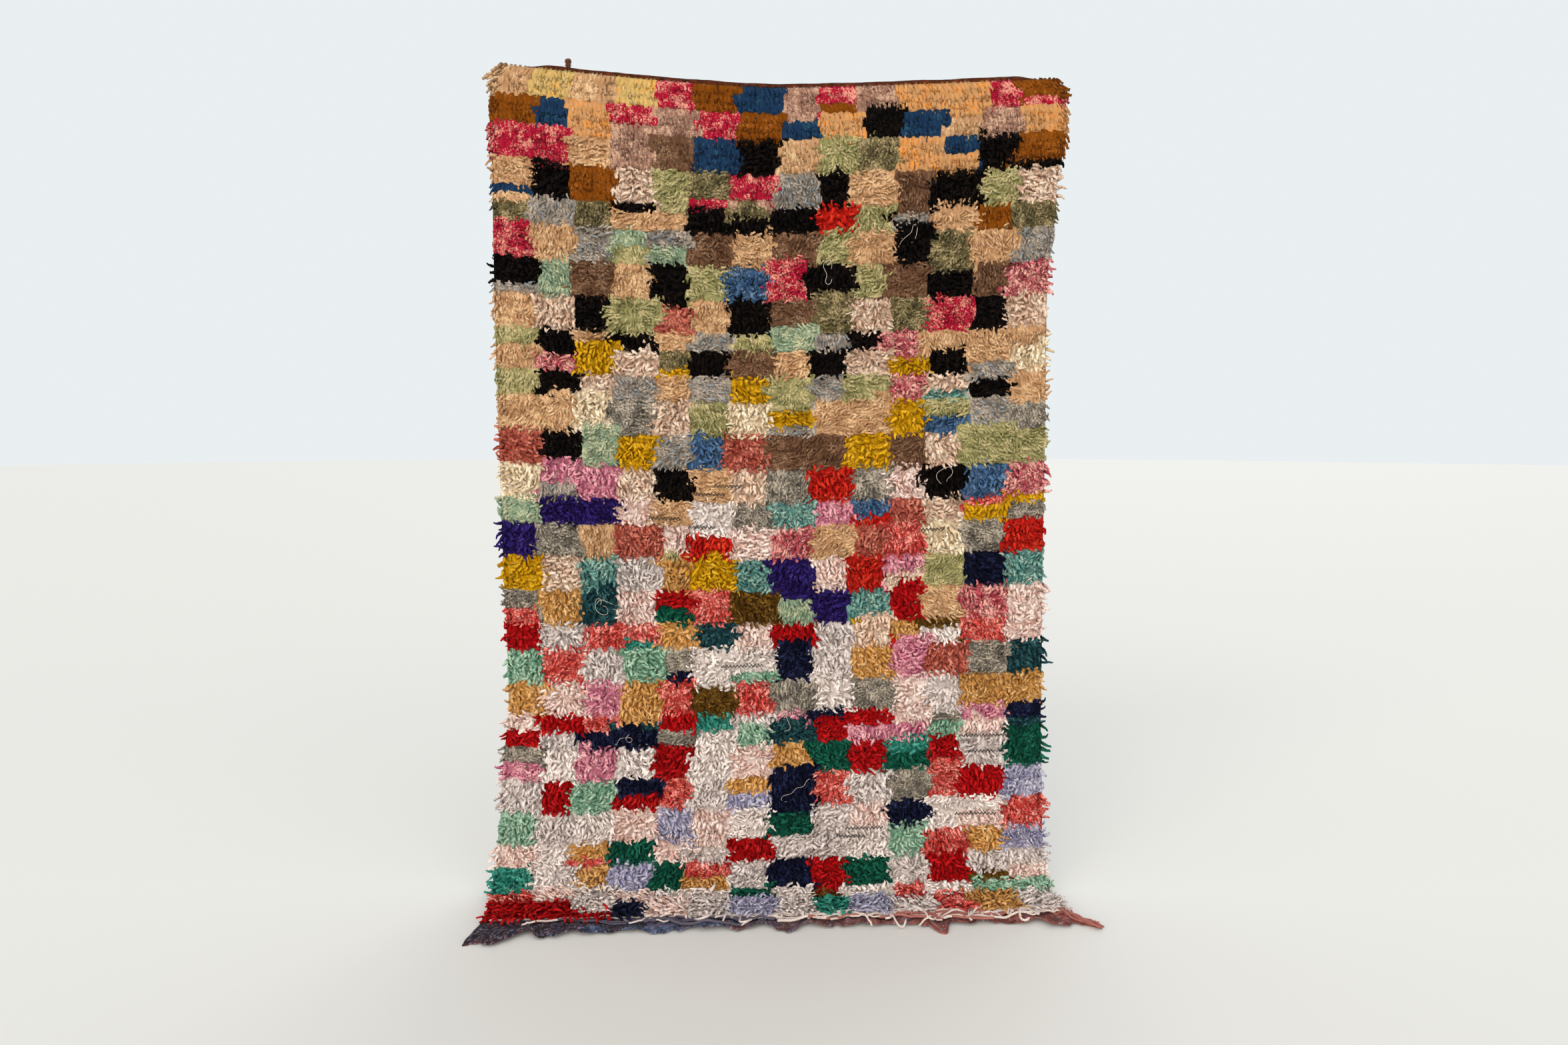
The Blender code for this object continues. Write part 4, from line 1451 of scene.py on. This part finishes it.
@dataclass
class TopHeading:
    """The plain-woven heading, folded over the top edge and down the back, and the tied-off end on it."""

    drape: Drape
    left: float = -0.600
    right: float = 0.600
    rise: float = 0.012
    least_rise: float = 0.35
    end_ease: float = 0.05
    waviness: float = 0.0016
    wave_lengths: Pair = (0.07, 0.018)
    front: float = 0.0045
    tail: float = 0.0035
    tail_down: float = 0.034
    ripple: Pair = (0.0005, 0.02)
    hem_drop: Pair = (0.0012, 0.03)
    stations: int = 240
    fold_sides: int = 8
    knot_x: float = -0.505
    knot_height: float = 0.020
    knot_plies: int = 4
    ply_radius: float = 0.0027
    ply_apart: Pair = (0.0036, 0.0024)
    coils: tuple[Coil, ...] = (
        Coil(0.0040, 0.003, 2.5, 0.0062, 0.0012),
        Coil(0.0112, 0.007, 3.4, 0.0056, 0.0027),
    )

    def edge(self, x: Array) -> Array:
        """The height of the cloth's top edge at x."""
        top = self.drape.widths[0]
        return self.drape.rise(2 * (x - top.left) / (top.right - top.left) - 1)

    def fold_top(self, x: Array) -> Array:
        """The height of the heading's fold, a little uneven.

        Args:
            x: Places across, in metres.

        Returns:
            A height for each place.
        """
        wide, fine = self.wave_lengths
        wave = drifts(x / wide, 0, 5 / LAYER_GAP) + 0.35 * drifts(x / fine, 1, 3)
        ends = smooth(np.minimum(x - self.left, self.right - x) / self.end_ease)
        rise = self.rise * (self.least_rise + (1 - self.least_rise) * ends)
        return self.edge(x) + rise + self.waviness * wave * ends

    def build(self, finish: Material) -> Object:
        """Builds the folded strip.

        Args:
            finish: Its material.

        Returns:
            The piece.
        """
        xs = np.linspace(self.left, self.right, self.stations + 1)
        tops, edges = self.fold_top(xs), self.edge(xs)
        middle, radius = (self.tail - self.front) / 2, (self.tail + self.front) / 2
        bm = bmesh.new()
        weave = bm.loops.layers.uv.new("weave")
        rings = []
        for x, top, base in zip(xs, tops, edges):
            ripple = self.ripple[0] * drift(x / self.ripple[1], 2, 4)
            profile = [(-self.front, base + CLEARANCE)]
            for i in range(self.fold_sides + 1):
                angle = math.pi * (1 - i / self.fold_sides)
                profile.append((middle + radius * math.cos(angle), top - radius + radius * math.sin(angle)))
            hem = base - self.tail_down + self.hem_drop[0] * drift(x / self.hem_drop[1], 3, 6)
            profile += [(self.tail + ripple, base - 0.4 * self.tail_down), (self.tail, hem),
                        (CLEARANCE, hem), (CLEARANCE, base + CLEARANCE)]
            rings.append([bm.verts.new((x, y, z)) for y, z in profile])
        count = len(rings[0])
        steps = [0.0]
        for i in range(count):
            steps.append(steps[-1] + (rings[0][(i + 1) % count].co - rings[0][i].co).length)
        for k in range(len(rings) - 1):
            for i in range(count):
                j = (i + 1) % count
                add_face(bm, (rings[k][i], rings[k][j], rings[k + 1][j], rings[k + 1][i]), weave,
                         [(xs[end], steps[i + up]) for end, up in ((k, 0), (k, 1), (k + 1, 1), (k + 1, 0))])
        bm.faces.new(rings[0])
        bm.faces.new(rings[-1][::-1])
        mesh = to_mesh(bm, "folded_heading")
        mesh.set_sharp_from_angle(angle=math.radians(60))
        return add_object("folded_heading", mesh, finish)

    def build_knot(self, finish: Material) -> Object:
        """Builds the stub: yarns twisted together, wrapped at the neck and knotted at the top.

        Args:
            finish: Its material.

        Returns:
            The piece.
        """
        base = float(self.fold_top(np.array([self.knot_x]))[0])
        paths = []
        for ply in range(self.knot_plies):
            path, steps = [], 12
            for i in range(steps + 1):
                t = i / steps
                angle = math.tau * ply / self.knot_plies + 1.6 * math.pi * t
                path.append(Vector((self.knot_x + self.ply_apart[0] * math.cos(angle),
                                    self.ply_apart[1] * math.sin(angle) - 0.0004,
                                    base - 0.0012 + (self.knot_height - 0.004) * t)))
            paths.append((path, self.ply_radius))
        for coil in self.coils:
            path, steps = [], 48
            for i in range(steps + 1):
                t = i / steps
                angle, bulge = math.tau * coil.turns * t, coil.radius * math.cos(1.2 * (t - 0.3))
                path.append(Vector((self.knot_x + bulge * math.cos(angle), 0.66 * bulge * math.sin(angle),
                                    base + coil.height + coil.climb * t)))
            paths.append((path, coil.thick))
        return add_strands("heading_knot", paths, 8, 0.85, finish)


def add_strands(name: str, paths: list[tuple[list[Vector], float]], sides: int, taper: float,
                finish: Material) -> Object:
    """Builds closed round strands along paths.

    Args:
        name: The piece's name.
        paths: For each strand, its points and its radius.
        sides: How many sides each strand has.
        taper: How thick a strand's tip is, as a share of its root.
        finish: Their material.

    Returns:
        The piece, with a UV map that runs round each strand as 0 to 1 and along it in metres.
    """
    bm = bmesh.new()
    ply = bm.loops.layers.uv.new("ply")
    for points, radius in paths:
        rings, lengths = [], [0.0]
        for i, point in enumerate(points):
            ahead = (points[min(i + 1, len(points) - 1)] - points[max(i - 1, 0)]).normalized()
            guide = Vector((0, 0, 1)) if abs(ahead.z) < 0.9 else Vector((0, 1, 0))
            side = ahead.cross(guide).normalized()
            up = side.cross(ahead)
            size = radius * (1 - (1 - taper) * i / (len(points) - 1))
            angles = [math.tau * k / sides for k in range(sides)]
            rings.append([bm.verts.new(point + (side * math.cos(a) + up * math.sin(a)) * size)
                          for a in angles])
            if i:
                lengths.append(lengths[-1] + (point - points[i - 1]).length)
        for i in range(len(rings) - 1):
            for k in range(sides):
                j = (k + 1) % sides
                corners = (rings[i][k], rings[i][j], rings[i + 1][j], rings[i + 1][k])
                add_face(bm, corners, ply, [((k + turn) / sides, lengths[i + on])
                                            for turn, on in ((0, 0), (1, 0), (1, 1), (0, 1))])
        bm.faces.new(rings[0][::-1])
        bm.faces.new(rings[-1])
    return add_object(name, to_mesh(bm, name), finish)


class Ruck(NamedTuple):
    """The end band at a place across: how far its edge stands out sideways, its reach and its lift."""

    across: float
    out: float
    reach: float
    lift: float


@dataclass
class EndBand:
    """The plain-woven band of the foot end, rucked and pulled out to a point at each corner."""

    drape: Drape
    thickness: float = 0.0038
    edge_thinner: float = 0.45
    rows: int = 14
    stations: int = 420
    flat_share: float = 0.25
    woven_depth: float = 0.08
    # The worn edge, as shares of its reach: broad lobes, smaller ones and nibbles, and how often each comes
    worn: float = 0.20
    lobes: tuple[Pair, ...] = ((1.9, 11), (0.8, 34), (0.5, 95))
    # Crumpled cloth: its height, and how close its broad and fine creases are across and forward
    crumple: float = 0.014
    creases: tuple[Pair, ...] = ((15, 1.4), (44, 4))
    # The wefts that are twisted together at the right-hand corner
    tip_seed: int = 14
    tip_plies: int = 8
    tip_steps: int = 26
    tip_turns: float = 1.3
    tip_begin: Pair = (0.15, 0.45)
    tip_stop: Pair = (0.88, 1.07)
    tip_radius: Pair = (0.0020, 0.0036)
    tip_flare: float = 0.012
    tip_spread: tuple[float, float, float] = (0.0062, 0.0024, 0.0044)
    rucks: tuple[Ruck, ...] = tuple(Ruck(*row) for row in (
        (-1.000, -0.012, 0.116, 0.000), (-0.945, -0.004, 0.108, 0.005), (-0.880, 0.004, 0.094, 0.009),
        (-0.830, 0.004, 0.072, 0.013), (-0.765, 0.000, 0.082, 0.005), (-0.690, 0.000, 0.068, 0.012),
        (-0.560, 0.000, 0.074, 0.005), (-0.480, 0.000, 0.066, 0.010), (-0.400, 0.000, 0.073, 0.003),
        (-0.320, 0.000, 0.070, 0.006), (-0.220, 0.000, 0.060, 0.013), (-0.130, 0.000, 0.074, 0.004),
        (-0.060, 0.000, 0.058, 0.011), (0.030, 0.000, 0.072, 0.003), (0.110, 0.000, 0.060, 0.012),
        (0.190, 0.000, 0.067, 0.005), (0.280, 0.000, 0.057, 0.010), (0.410, 0.000, 0.061, 0.006),
        (0.505, 0.000, 0.064, 0.004), (0.550, 0.006, 0.110, 0.000), (0.590, 0.000, 0.062, 0.009),
        (0.700, 0.000, 0.056, 0.007), (0.790, 0.000, 0.068, 0.003), (0.880, 0.006, 0.063, 0.011),
        (0.950, 0.026, 0.084, 0.006), (1.000, 0.060, 0.098, 0.000),
    ))

    def reach(self, across: Array) -> Array:
        """How far the band reaches forward of the pile, with the rounded lobes and steps of a worn edge.

        Args:
            across: Places across the cloth.

        Returns:
            A reach for each place.
        """
        base = read_table(self.rucks, "across", "reach", across)
        (broad, pace), *finer = self.lobes
        worn = broad * np.abs(drifts(across * pace, 0, 8)) - 0.5
        for field_y, (size, pace) in zip((4, 6), finer):
            worn = worn + size * drifts(across * pace, field_y, 8)
        return base * (1 + self.worn * worn)

    def lift(self, across: Array, share: Array) -> Array:
        """How high the band's underside is rucked up.

        Args:
            across: Places across the cloth.
            share: How far from its root at the pile, 0, to its edge, 1.

        Returns:
            A height for each place.
        """
        lift = read_table(self.rucks, "across", "lift", across)
        grown = smooth((share - self.flat_share) / (1 - self.flat_share))
        (side, ahead), (fine_side, fine_ahead) = self.creases
        bent = across * side + 0.8 * drifts(share * 1.6, across * 3, 2)
        puckers = drifts(bent, share * ahead, 9) + 0.4 * drifts(across * fine_side, share * fine_ahead, 10)
        inside = smooth(share * 2.2) * np.clip(1 - share**8, 0, 1)
        return lift * grown + self.crumple * np.maximum(puckers + 0.15, 0) * inside

    def top(self, across: Array, forward: Array) -> Array:
        """The height over the floor of the band's upper side this far forward, and of the floor past it."""
        share = forward / self.reach(across)
        return (self.thickness + 0.0012 + self.lift(across, share)) * (1 - smooth((share - 1.10) / 0.20))

    def underside(self, across: Array, share: Array) -> tuple[Array, Array, Array]:
        """Where the band's underside is.

        Args:
            across: Places across the cloth.
            share: How far from its root at the pile, 0, to its edge, 1.

        Returns:
            The x, the y and the z of each place.
        """
        root = self.drape.foot_line(across)
        out = read_table(self.rucks, "across", "out", across)
        x = root[..., 0] + out * smooth(share) * share
        y = root[..., 1] - CLEARANCE - self.reach(across) * share
        return x, y, -self.drape.drop + self.lift(across, share)

    def build_tip(self, finish: Material) -> Object:
        """Builds the wefts that are twisted together into a ragged end at the right-hand corner.

        Args:
            finish: Its material.

        Returns:
            The piece.
        """
        rng = np.random.default_rng(self.tip_seed)
        paths = []
        for ply in range(self.tip_plies):
            begin, stop = rng.uniform(*self.tip_begin), rng.uniform(*self.tip_stop)
            radius, flare = rng.uniform(*self.tip_radius), rng.uniform(-self.tip_flare, self.tip_flare)
            path = []
            for i in range(self.tip_steps + 1):
                share = begin + (stop - begin) * i / self.tip_steps
                angle = math.tau * (ply / self.tip_plies + self.tip_turns * share)
                side = 0.998 - 0.035 * (1 - min(share, 1)) * (ply % 3)
                x, y, z = (float(v[0]) for v in self.underside(np.array([side]), np.array([share])))
                wide, less, uneven = self.tip_spread
                spread = wide - less * share + uneven * drift(share * 7, ply * 3, 31)
                lie = max(spread * math.sin(angle), -0.4 * spread)
                apart = flare * max(share - 0.3, 0) ** 2
                path.append(Vector((x + 0.7 * spread * math.cos(angle), y + spread * math.cos(angle) + apart,
                                    z + self.thickness + 0.5 * radius + 0.4 * spread + lie)))
            paths.append((path, radius))
        return add_strands("twisted_tip", paths, 7, 0.85, finish)

    def build(self, finish: Material) -> Object:
        """Builds the band as one closed mesh, thin at its worn edge.

        Args:
            finish: Its material.

        Returns:
            The piece.
        """
        across, share = np.linspace(-1, 1, self.stations + 1), np.linspace(0, 1, self.rows + 1)
        a, s = np.meshgrid(across, share, indexing="ij")
        x, y, z = self.underside(a, s)
        thick = self.thickness * (1 - self.edge_thinner * s**4)
        bm = bmesh.new()
        weave = bm.loops.layers.uv.new("weave")
        low, high = ([[bm.verts.new(p) for p in column] for column in np.stack([x, y, height], -1)]
                     for height in (z, z + thick))

        def cover(corners: list[BMVert], places: list[tuple[int, int]]) -> None:
            """Adds a face with its weave map, in metres along and across the weft."""
            add_face(bm, corners, weave, [(x[i, 0], s[0, k] * self.woven_depth) for i, k in places])

        for layer in (low, high):
            for i, k in np.ndindex(self.stations, self.rows):
                where = [(i, k), (i + 1, k), (i + 1, k + 1), (i, k + 1)]
                cover([layer[p][q] for p, q in where], where)
        ends = [((i, k), (i + 1, k)) for k in (0, self.rows) for i in range(self.stations)]
        sides = [((i, k), (i, k + 1)) for i in (0, self.stations) for k in range(self.rows)]
        for (i, k), (p, q) in ends + sides:
            cover([low[i][k], low[p][q], high[p][q], high[i][k]], [(i, k), (p, q), (p, q), (i, k)])
        mesh = to_mesh(bm, "woven_band")
        mesh.set_sharp_from_angle(angle=math.radians(60))
        return add_object("woven_band", mesh, finish)


@dataclass
class WarpEnds:
    """The loose warp ends: a twined row that holds their roots, and ends that curl over the band."""

    drape: Drape
    band: EndBand
    seed: int = 5
    step: float = 0.006
    # How far round a strand the band is felt for its height, across and forward
    feel: Pair = (0.005, 0.003)
    # The twined row of two cords
    reach: float = 0.97
    twists: int = 64
    twist_points: int = 9
    cord_radius: float = 0.0018
    cords_apart: Pair = (0.0019, 0.0012)
    # The loose wefts
    weft_reach: Pair = (0.08, 0.34)
    weft_forward: Pair = (0.008, 0.046)
    weft_limits: Pair = (0.0075, 0.062)
    weft_girth: Pair = (0.6, 1.15)
    weft_lean: float = 0.012
    weft_waves: tuple[Pair, ...] = ((0.012, 9), (0.005, 30))
    # The loose warp ends, more of them the further right
    strip_depth: float = 0.009
    count: int = 96
    outermost: float = 0.94
    crowding: float = 0.44
    steep_share: float = 0.16
    steep: Pair = (0.1, 0.8)
    level: Pair = (1.0, 1.6)
    curl: float = 5.0
    hop: float = 0.007
    radius: float = 0.0034
    girth: Pair = (0.65, 1.1)
    lengths: Pair = (0.036, 0.115)
    furthest: float = 0.078
    widest: float = 0.975

    def rest(self, across: float, forward: float, radius: float) -> Vector:
        """Where the middle of a strand is that lies on the band or the floor.

        Args:
            across: The place across the cloth.
            forward: How far forward of the pile it is.
            radius: The strand's radius.

        Returns:
            The point.
        """
        wide, deep = self.feel
        near = self.band.top(np.clip(across + np.array([-wide, 0.0, wide] * 3), -1, 1),
                             forward + np.repeat([-deep, 0.0, deep], 3))
        root = self.drape.foot_line(np.array([across]))[0]
        height = float(near.max()) + radius + 0.0002
        return Vector((root[0], root[1] - CLEARANCE - forward, height - self.drape.drop))

    def build_twining(self, finish: Material) -> Object:
        """Builds the row of twining: two cords that wind round each other along the band's root.

        Args:
            finish: Its material.

        Returns:
            The piece.
        """
        paths = []
        points = self.twists * self.twist_points
        apart, over = self.cords_apart
        for phase in (0.0, math.pi):
            path = []
            for i in range(points + 1):
                across = self.reach * (2 * i / points - 1)
                angle = phase + math.tau * self.twists * i / points + 3 * drift(across * 4, 0, 12)
                slack = 0.008 * drift(across * 5, 1, 12) + 0.004 * drift(across * 19, 2, 12)
                bare = float(smooth((across + 0.15) / 0.5))
                forward = max(0.004 + 0.007 * bare + slack * bare + apart * math.cos(angle), 0.003)
                point = self.rest(across, forward, self.cord_radius)
                path.append(point + Vector((0, 0, over * math.sin(angle) + over)))
            paths.append((path, self.cord_radius))
        return add_strands("twined_row", paths, 6, 1.0, finish)

    def build_wefts(self, name: str, start: float, end: float, count: int,
                    finish: Material) -> Object:
        """Builds wefts that have worked loose and lie along the band in slack waves.

        Args:
            name: The piece's name.
            start: Where across the band they begin.
            end: Where across it they end.
            count: How many there are.
            finish: Their material.

        Returns:
            The piece.
        """
        rng = np.random.default_rng(self.seed + count)
        paths = []
        for _ in range(count):
            reach = rng.uniform(*self.weft_reach)
            first = rng.uniform(start, end - reach)
            forward, lean = rng.uniform(*self.weft_forward), rng.normal(0, self.weft_lean)
            radius, layer = self.radius * rng.uniform(*self.weft_girth), float(rng.uniform(20, 90))
            steps = int(reach * self.drape.half_width / self.step)
            path = []
            for i in range(steps + 1):
                across = first + reach * i / steps
                wave = sum(size * drift(across * pace, field_y, layer)
                           for field_y, (size, pace) in enumerate(self.weft_waves))
                away = float(np.clip(forward + lean * i / steps + wave, *self.weft_limits))
                path.append(self.rest(across, away, radius))
            paths.append((path, radius))
        return add_strands(name, paths, 6, 0.8, finish)

    def build_ends(self, finish: Material) -> Object:
        """Builds the loose ends, each resting on the band or the floor.

        Args:
            finish: Its material.

        Returns:
            The piece.
        """
        rng = np.random.default_rng(self.seed)
        nearest, widest = self.strip_depth * 0.4, self.widest
        paths = []
        for i in range(self.count):
            share = (i + 0.5 + rng.uniform(-0.4, 0.4)) / self.count
            across = self.outermost * (2 * share**self.crowding - 1)
            length, radius = rng.uniform(*self.lengths), self.radius * rng.uniform(*self.girth)
            steep = rng.random() < self.steep_share
            side = math.copysign(rng.uniform(*(self.steep if steep else self.level)), rng.random() - 0.5)
            curl = rng.normal(0, self.curl)
            hop, furthest = rng.uniform(0.0, self.hop), self.furthest * rng.uniform(0.5, 1.0)
            forward, path = nearest, []
            count = max(int(length / self.step), 5)
            for k in range(count + 1):
                point = self.rest(across, forward, radius)
                point.z += hop * math.sin(math.pi * k / count) ** 2
                path.append(point)
                across += math.sin(side) * length / count / self.drape.half_width
                forward += math.cos(side) * length / count
                side += curl * length / count
                # An end that has come too far forward turns aside, and one at a corner stays within it
                if forward > furthest or abs(across) > widest:
                    side += 0.5 * math.copysign(1, math.sin(side)) if abs(across) < widest else 0
                    across = float(np.clip(across, -widest, widest))
                forward = float(np.clip(forward, nearest, self.furthest))
            paths.append((path, radius))
        return add_strands("loose_warp_ends", paths, 6, 0.75, finish)


@dataclass
class StrayThreads:
    """Fine pale threads in loops on some of the dark blocks, and dark wefts bared between pale ones."""

    drape: Drape
    plan: BlockPlan
    seed: int = 11
    # The threads
    dark: frozenset[str] = frozenset({"soot", "midnight", "petrol"})
    count: int = 8
    radius: float = 0.0006
    out: float = 0.0225
    length: float = 0.11
    steps: int = 36
    # The wefts
    wefts: int = 11
    weft_radius: float = 0.0017
    weft_out: float = 0.0258
    weft_length: Pair = (0.06, 0.13)
    weft_zone: Pair = (0.42, 0.93)
    zigzag: float = 0.0045
    tooth: float = 0.0030

    def find(self, names: frozenset[str], courses: range, knots: range, rows: tuple[int, ...],
             beside: tuple[int, ...]) -> list[tuple[int, int]]:
        """Finds places where all the knots round about are of certain yarns.

        Args:
            names: The yarns.
            courses: The courses to look in.
            knots: The knots of each to look at.
            rows: How many courses off the knots round about lie.
            beside: How many knots off they lie.

        Returns:
            The course and knot of each place.
        """
        kinds = {i for i, yarn in enumerate(YARNS) if yarn.name in names}
        return [(c, k) for c in courses for k in knots
                if all(self.plan.yarn_at[c + dc, k + dk] in kinds for dc in rows for dk in beside)]

    def build(self, finish: Material) -> Object:
        """Builds the threads as one mesh.

        Args:
            finish: Its material.

        Returns:
            The piece.
        """
        rng = np.random.default_rng(self.seed)
        courses, knots = self.plan.courses, self.plan.knots
        spots = self.find(self.dark, range(16, courses - 8), range(6, knots - 6), (-1, 0, 1), (-3, 0, 3))
        step = self.length / self.steps
        paths = []
        for pick in rng.choice(len(spots), self.count, replace=False):
            course, knot = spots[pick]
            across = np.array([2 * (knot + 0.5) / knots - 1])
            down = (course + 0.5) / courses * self.drape.length(across)
            heading, path = rng.uniform(0, math.tau), []
            bend = rng.uniform(40, 90) * rng.choice([-1, 1])
            for i in range(self.steps + 1):
                out = self.out + 0.0012 * drift(i * 0.21, 0, float(pick)) + 0.0008
                path.append(Vector(self.drape.points(across, down, out)[0]))
                across = across + math.cos(heading) * step / self.drape.half_width
                down = down + math.sin(heading) * step
                heading += bend * step * (0.5 + 4.0 * drift(i * 0.13, 2, float(pick)))
            paths.append((path, self.radius))
        return add_strands("stray_threads", paths, 5, 0.8, finish)

    def build_wefts(self, finish: Material) -> Object:
        """Builds the dark wefts that show as broken zigzags where the pile parts between two courses.

        Args:
            finish: Its material.

        Returns:
            The piece.
        """
        rng = np.random.default_rng(self.seed + 1)
        courses, knots = self.plan.courses, self.plan.knots
        first, last = (int(share * courses) for share in self.weft_zone)
        spots = self.find(self.plan.pale, range(first, last), range(6, knots - 14), (-1, 0), (0, 4, 7))
        paths, seen = [], set()
        for pick in rng.permutation(len(spots)):
            course, knot = spots[pick]
            if course in seen or len(seen) == self.wefts:
                continue
            seen.add(course)
            across, count = 2 * knot / knots - 1, int(rng.uniform(*self.weft_length) / self.zigzag)
            path = []
            for i in range(count + 1):
                a = np.array([across + i * self.zigzag / self.drape.half_width])
                down = course / courses * self.drape.length(a) + self.tooth * (-1) ** i
                out = self.weft_out + 0.0050 * drift(i * 0.35, 5, float(course))
                path.append(Vector(self.drape.points(a, down, out)[0]))
            paths.append((path, self.weft_radius))
        return add_strands("bare_wefts", paths, 5, 0.9, finish)


class Lamp(NamedTuple):
    """A large soft light: where it comes from, how wide it is, its strength and its colour."""

    name: str
    come_from: tuple[float, float, float]
    wide_deg: float
    strength: float
    colour: str


@dataclass
class Studio:
    """A pale floor under an even pale sky, soft light, and the camera at the photo's angle."""

    floor: float
    camera_x: float = 0.004
    distance: float = 2.6
    camera_z: float = -0.80
    pitch_deg: float = 5.0
    focal_px: float = 1600.0
    frame_px: float = 2352.0
    sensor: float = 36.0
    floor_radius: float = 40.0
    floor_colour: str = "#dad8d4"
    sky_colour: str = "#eef4f6"
    sky_strength: float = 0.96
    lamps: tuple[Lamp, ...] = (
        Lamp("key", (-0.42, -0.84, 0.34), 50, 1.75, "#fff3e6"),
        Lamp("fill", (0.58, -0.80, 0.16), 60, 0.90, "#fff3e6"),
        Lamp("back", (0.30, 0.90, 0.32), 60, 0.90, "#ffffff"),
    )

    def build(self) -> None:
        """Adds the stage, the lights and the camera."""
        self.build_stage()
        self.build_lights()
        camera = bpy.data.cameras.new("camera")
        camera.sensor_width = self.sensor
        camera.lens = self.focal_px / self.frame_px * self.sensor
        obj = bpy.data.objects.new("camera", camera)
        obj.location = (self.camera_x, -self.distance, self.camera_z)
        obj.rotation_euler = (math.radians(90 - self.pitch_deg), 0, 0)
        bpy.context.scene.collection.objects.link(obj)
        bpy.context.scene.camera = obj

    def build_stage(self) -> None:
        """Builds the plain floor, which runs out to the sky."""
        bm = bmesh.new()
        bmesh.ops.create_circle(bm, cap_ends=True, radius=self.floor_radius, segments=64)
        bmesh.ops.translate(bm, verts=bm.verts, vec=(0, 0, self.floor))
        mesh = bpy.data.meshes.new("stage")
        bm.to_mesh(mesh)
        bm.free()
        material, tree, shader = new_material("pale_floor")
        fill_sockets(tree, shader, {"Base Color": linear(self.floor_colour), "Roughness": 0.8})
        add_object("stage", mesh, material)

    def build_lights(self) -> None:
        """Adds the lights and the sky."""
        for lamp in self.lamps:
            light = bpy.data.lights.new(lamp.name, "SUN")
            light.angle = math.radians(lamp.wide_deg)
            light.energy = lamp.strength
            light.color = linear(lamp.colour)[:3]
            obj = bpy.data.objects.new(lamp.name, light)
            obj.rotation_euler = Vector(lamp.come_from).to_track_quat("Z", "Y").to_euler()
            bpy.context.scene.collection.objects.link(obj)
        world = bpy.data.worlds.new("studio")
        world.use_nodes = True
        sky = world.node_tree.nodes["Background"]
        fill_sockets(world.node_tree, sky, {"Color": linear(self.sky_colour), "Strength": self.sky_strength})
        bpy.context.scene.world = world


def main() -> None:
    """Builds the rug's pieces in order, attaches each to the root body and hides the part that it stands in
    for.
    """
    logging.basicConfig(level=logging.INFO, format="%(message)s")
    panel_low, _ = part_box("pile_panel")
    drape = Drape(drop=-panel_low[2])
    plan = BlockPlan(courses=104, knots=124, seed=349)

    pile_finish = RagPile().material()
    back_finish = KnottedBack().material()
    heading_dyes = ((0.0, "#4a200d"), (1.0, "#542510"))
    heading_finish = PlainWeave("heading_weave", heading_dyes, "#68331b", "#5c2a14").material()
    band_dyes = (
        (0.0, "#1f1c2c"), (0.10, "#44282e"), (0.20, "#262a40"), (0.36, "#4c5c7c"), (0.52, "#664a50"),
        (0.75, "#8a4c42"), (1.0, "#8c463a"),
    )
    band_finish = PlainWeave("band_weave", band_dyes, "#6a3834", "#9c94a4").material()
    cotton = SpunYarn("warp_cotton", "#f6eee6", "#ccb2a4").material()
    rose_wool = SpunYarn("rose_wool", "#c27c70", "#8a443c").material()
    blue_wool = SpunYarn("blue_wool", "#6b6478", "#332c3a").material()
    brown_wool = SpunYarn("brown_wool", "#643414", "#46220c").material()

    heading = TopHeading(drape)
    band = EndBand(drape)
    warp = WarpEnds(drape, band)

    ground = Ground(drape, plan).build(back_finish)
    bed = Bed(drape, plan).build(pile_finish)
    pile = Pile(drape, plan, seed=3).build(pile_finish)
    folded = heading.build(heading_finish)
    stub = heading.build_knot(brown_wool)
    woven = band.build(band_finish)
    twined = warp.build_twining(cotton)
    tip = band.build_tip(rose_wool)
    rose_wefts = warp.build_wefts("rose_wefts", 0.10, 0.97, 22, rose_wool)
    pale_wefts = warp.build_wefts("pale_wefts", -0.25, 0.97, 13, cotton)
    blue_wefts = warp.build_wefts("blue_wefts", -0.93, 0.15, 20, blue_wool)
    ends = warp.build_ends(cotton)
    strays = StrayThreads(drape, plan)
    threads = strays.build(cotton)
    bare = strays.build_wefts(SpunYarn("dark_wool", "#241b16", "#15100d").material())

    for node, slot, pieces in (
        ("pile_panel", "rag_pile", (ground, bed, *pile, threads, bare)),
        ("top_heading", "heading_weave", (folded,)),
        ("edge_knot", "heading_weave", (stub,)),
        ("end_band", "band_weave", (woven, tip, rose_wefts, blue_wefts)),
        ("warp_ends", "warp_yarn", (twined, pale_wefts, ends)),
    ):
        for piece in pieces:
            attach(piece, "root")
            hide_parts(node)
            LOG.info("%s: %d faces", piece.name, len(piece.data.polygons))

    Studio(floor=-drape.drop).build()
    bpy.context.scene.view_settings.view_transform = "Standard"


if __name__ == "__main__":
    main()
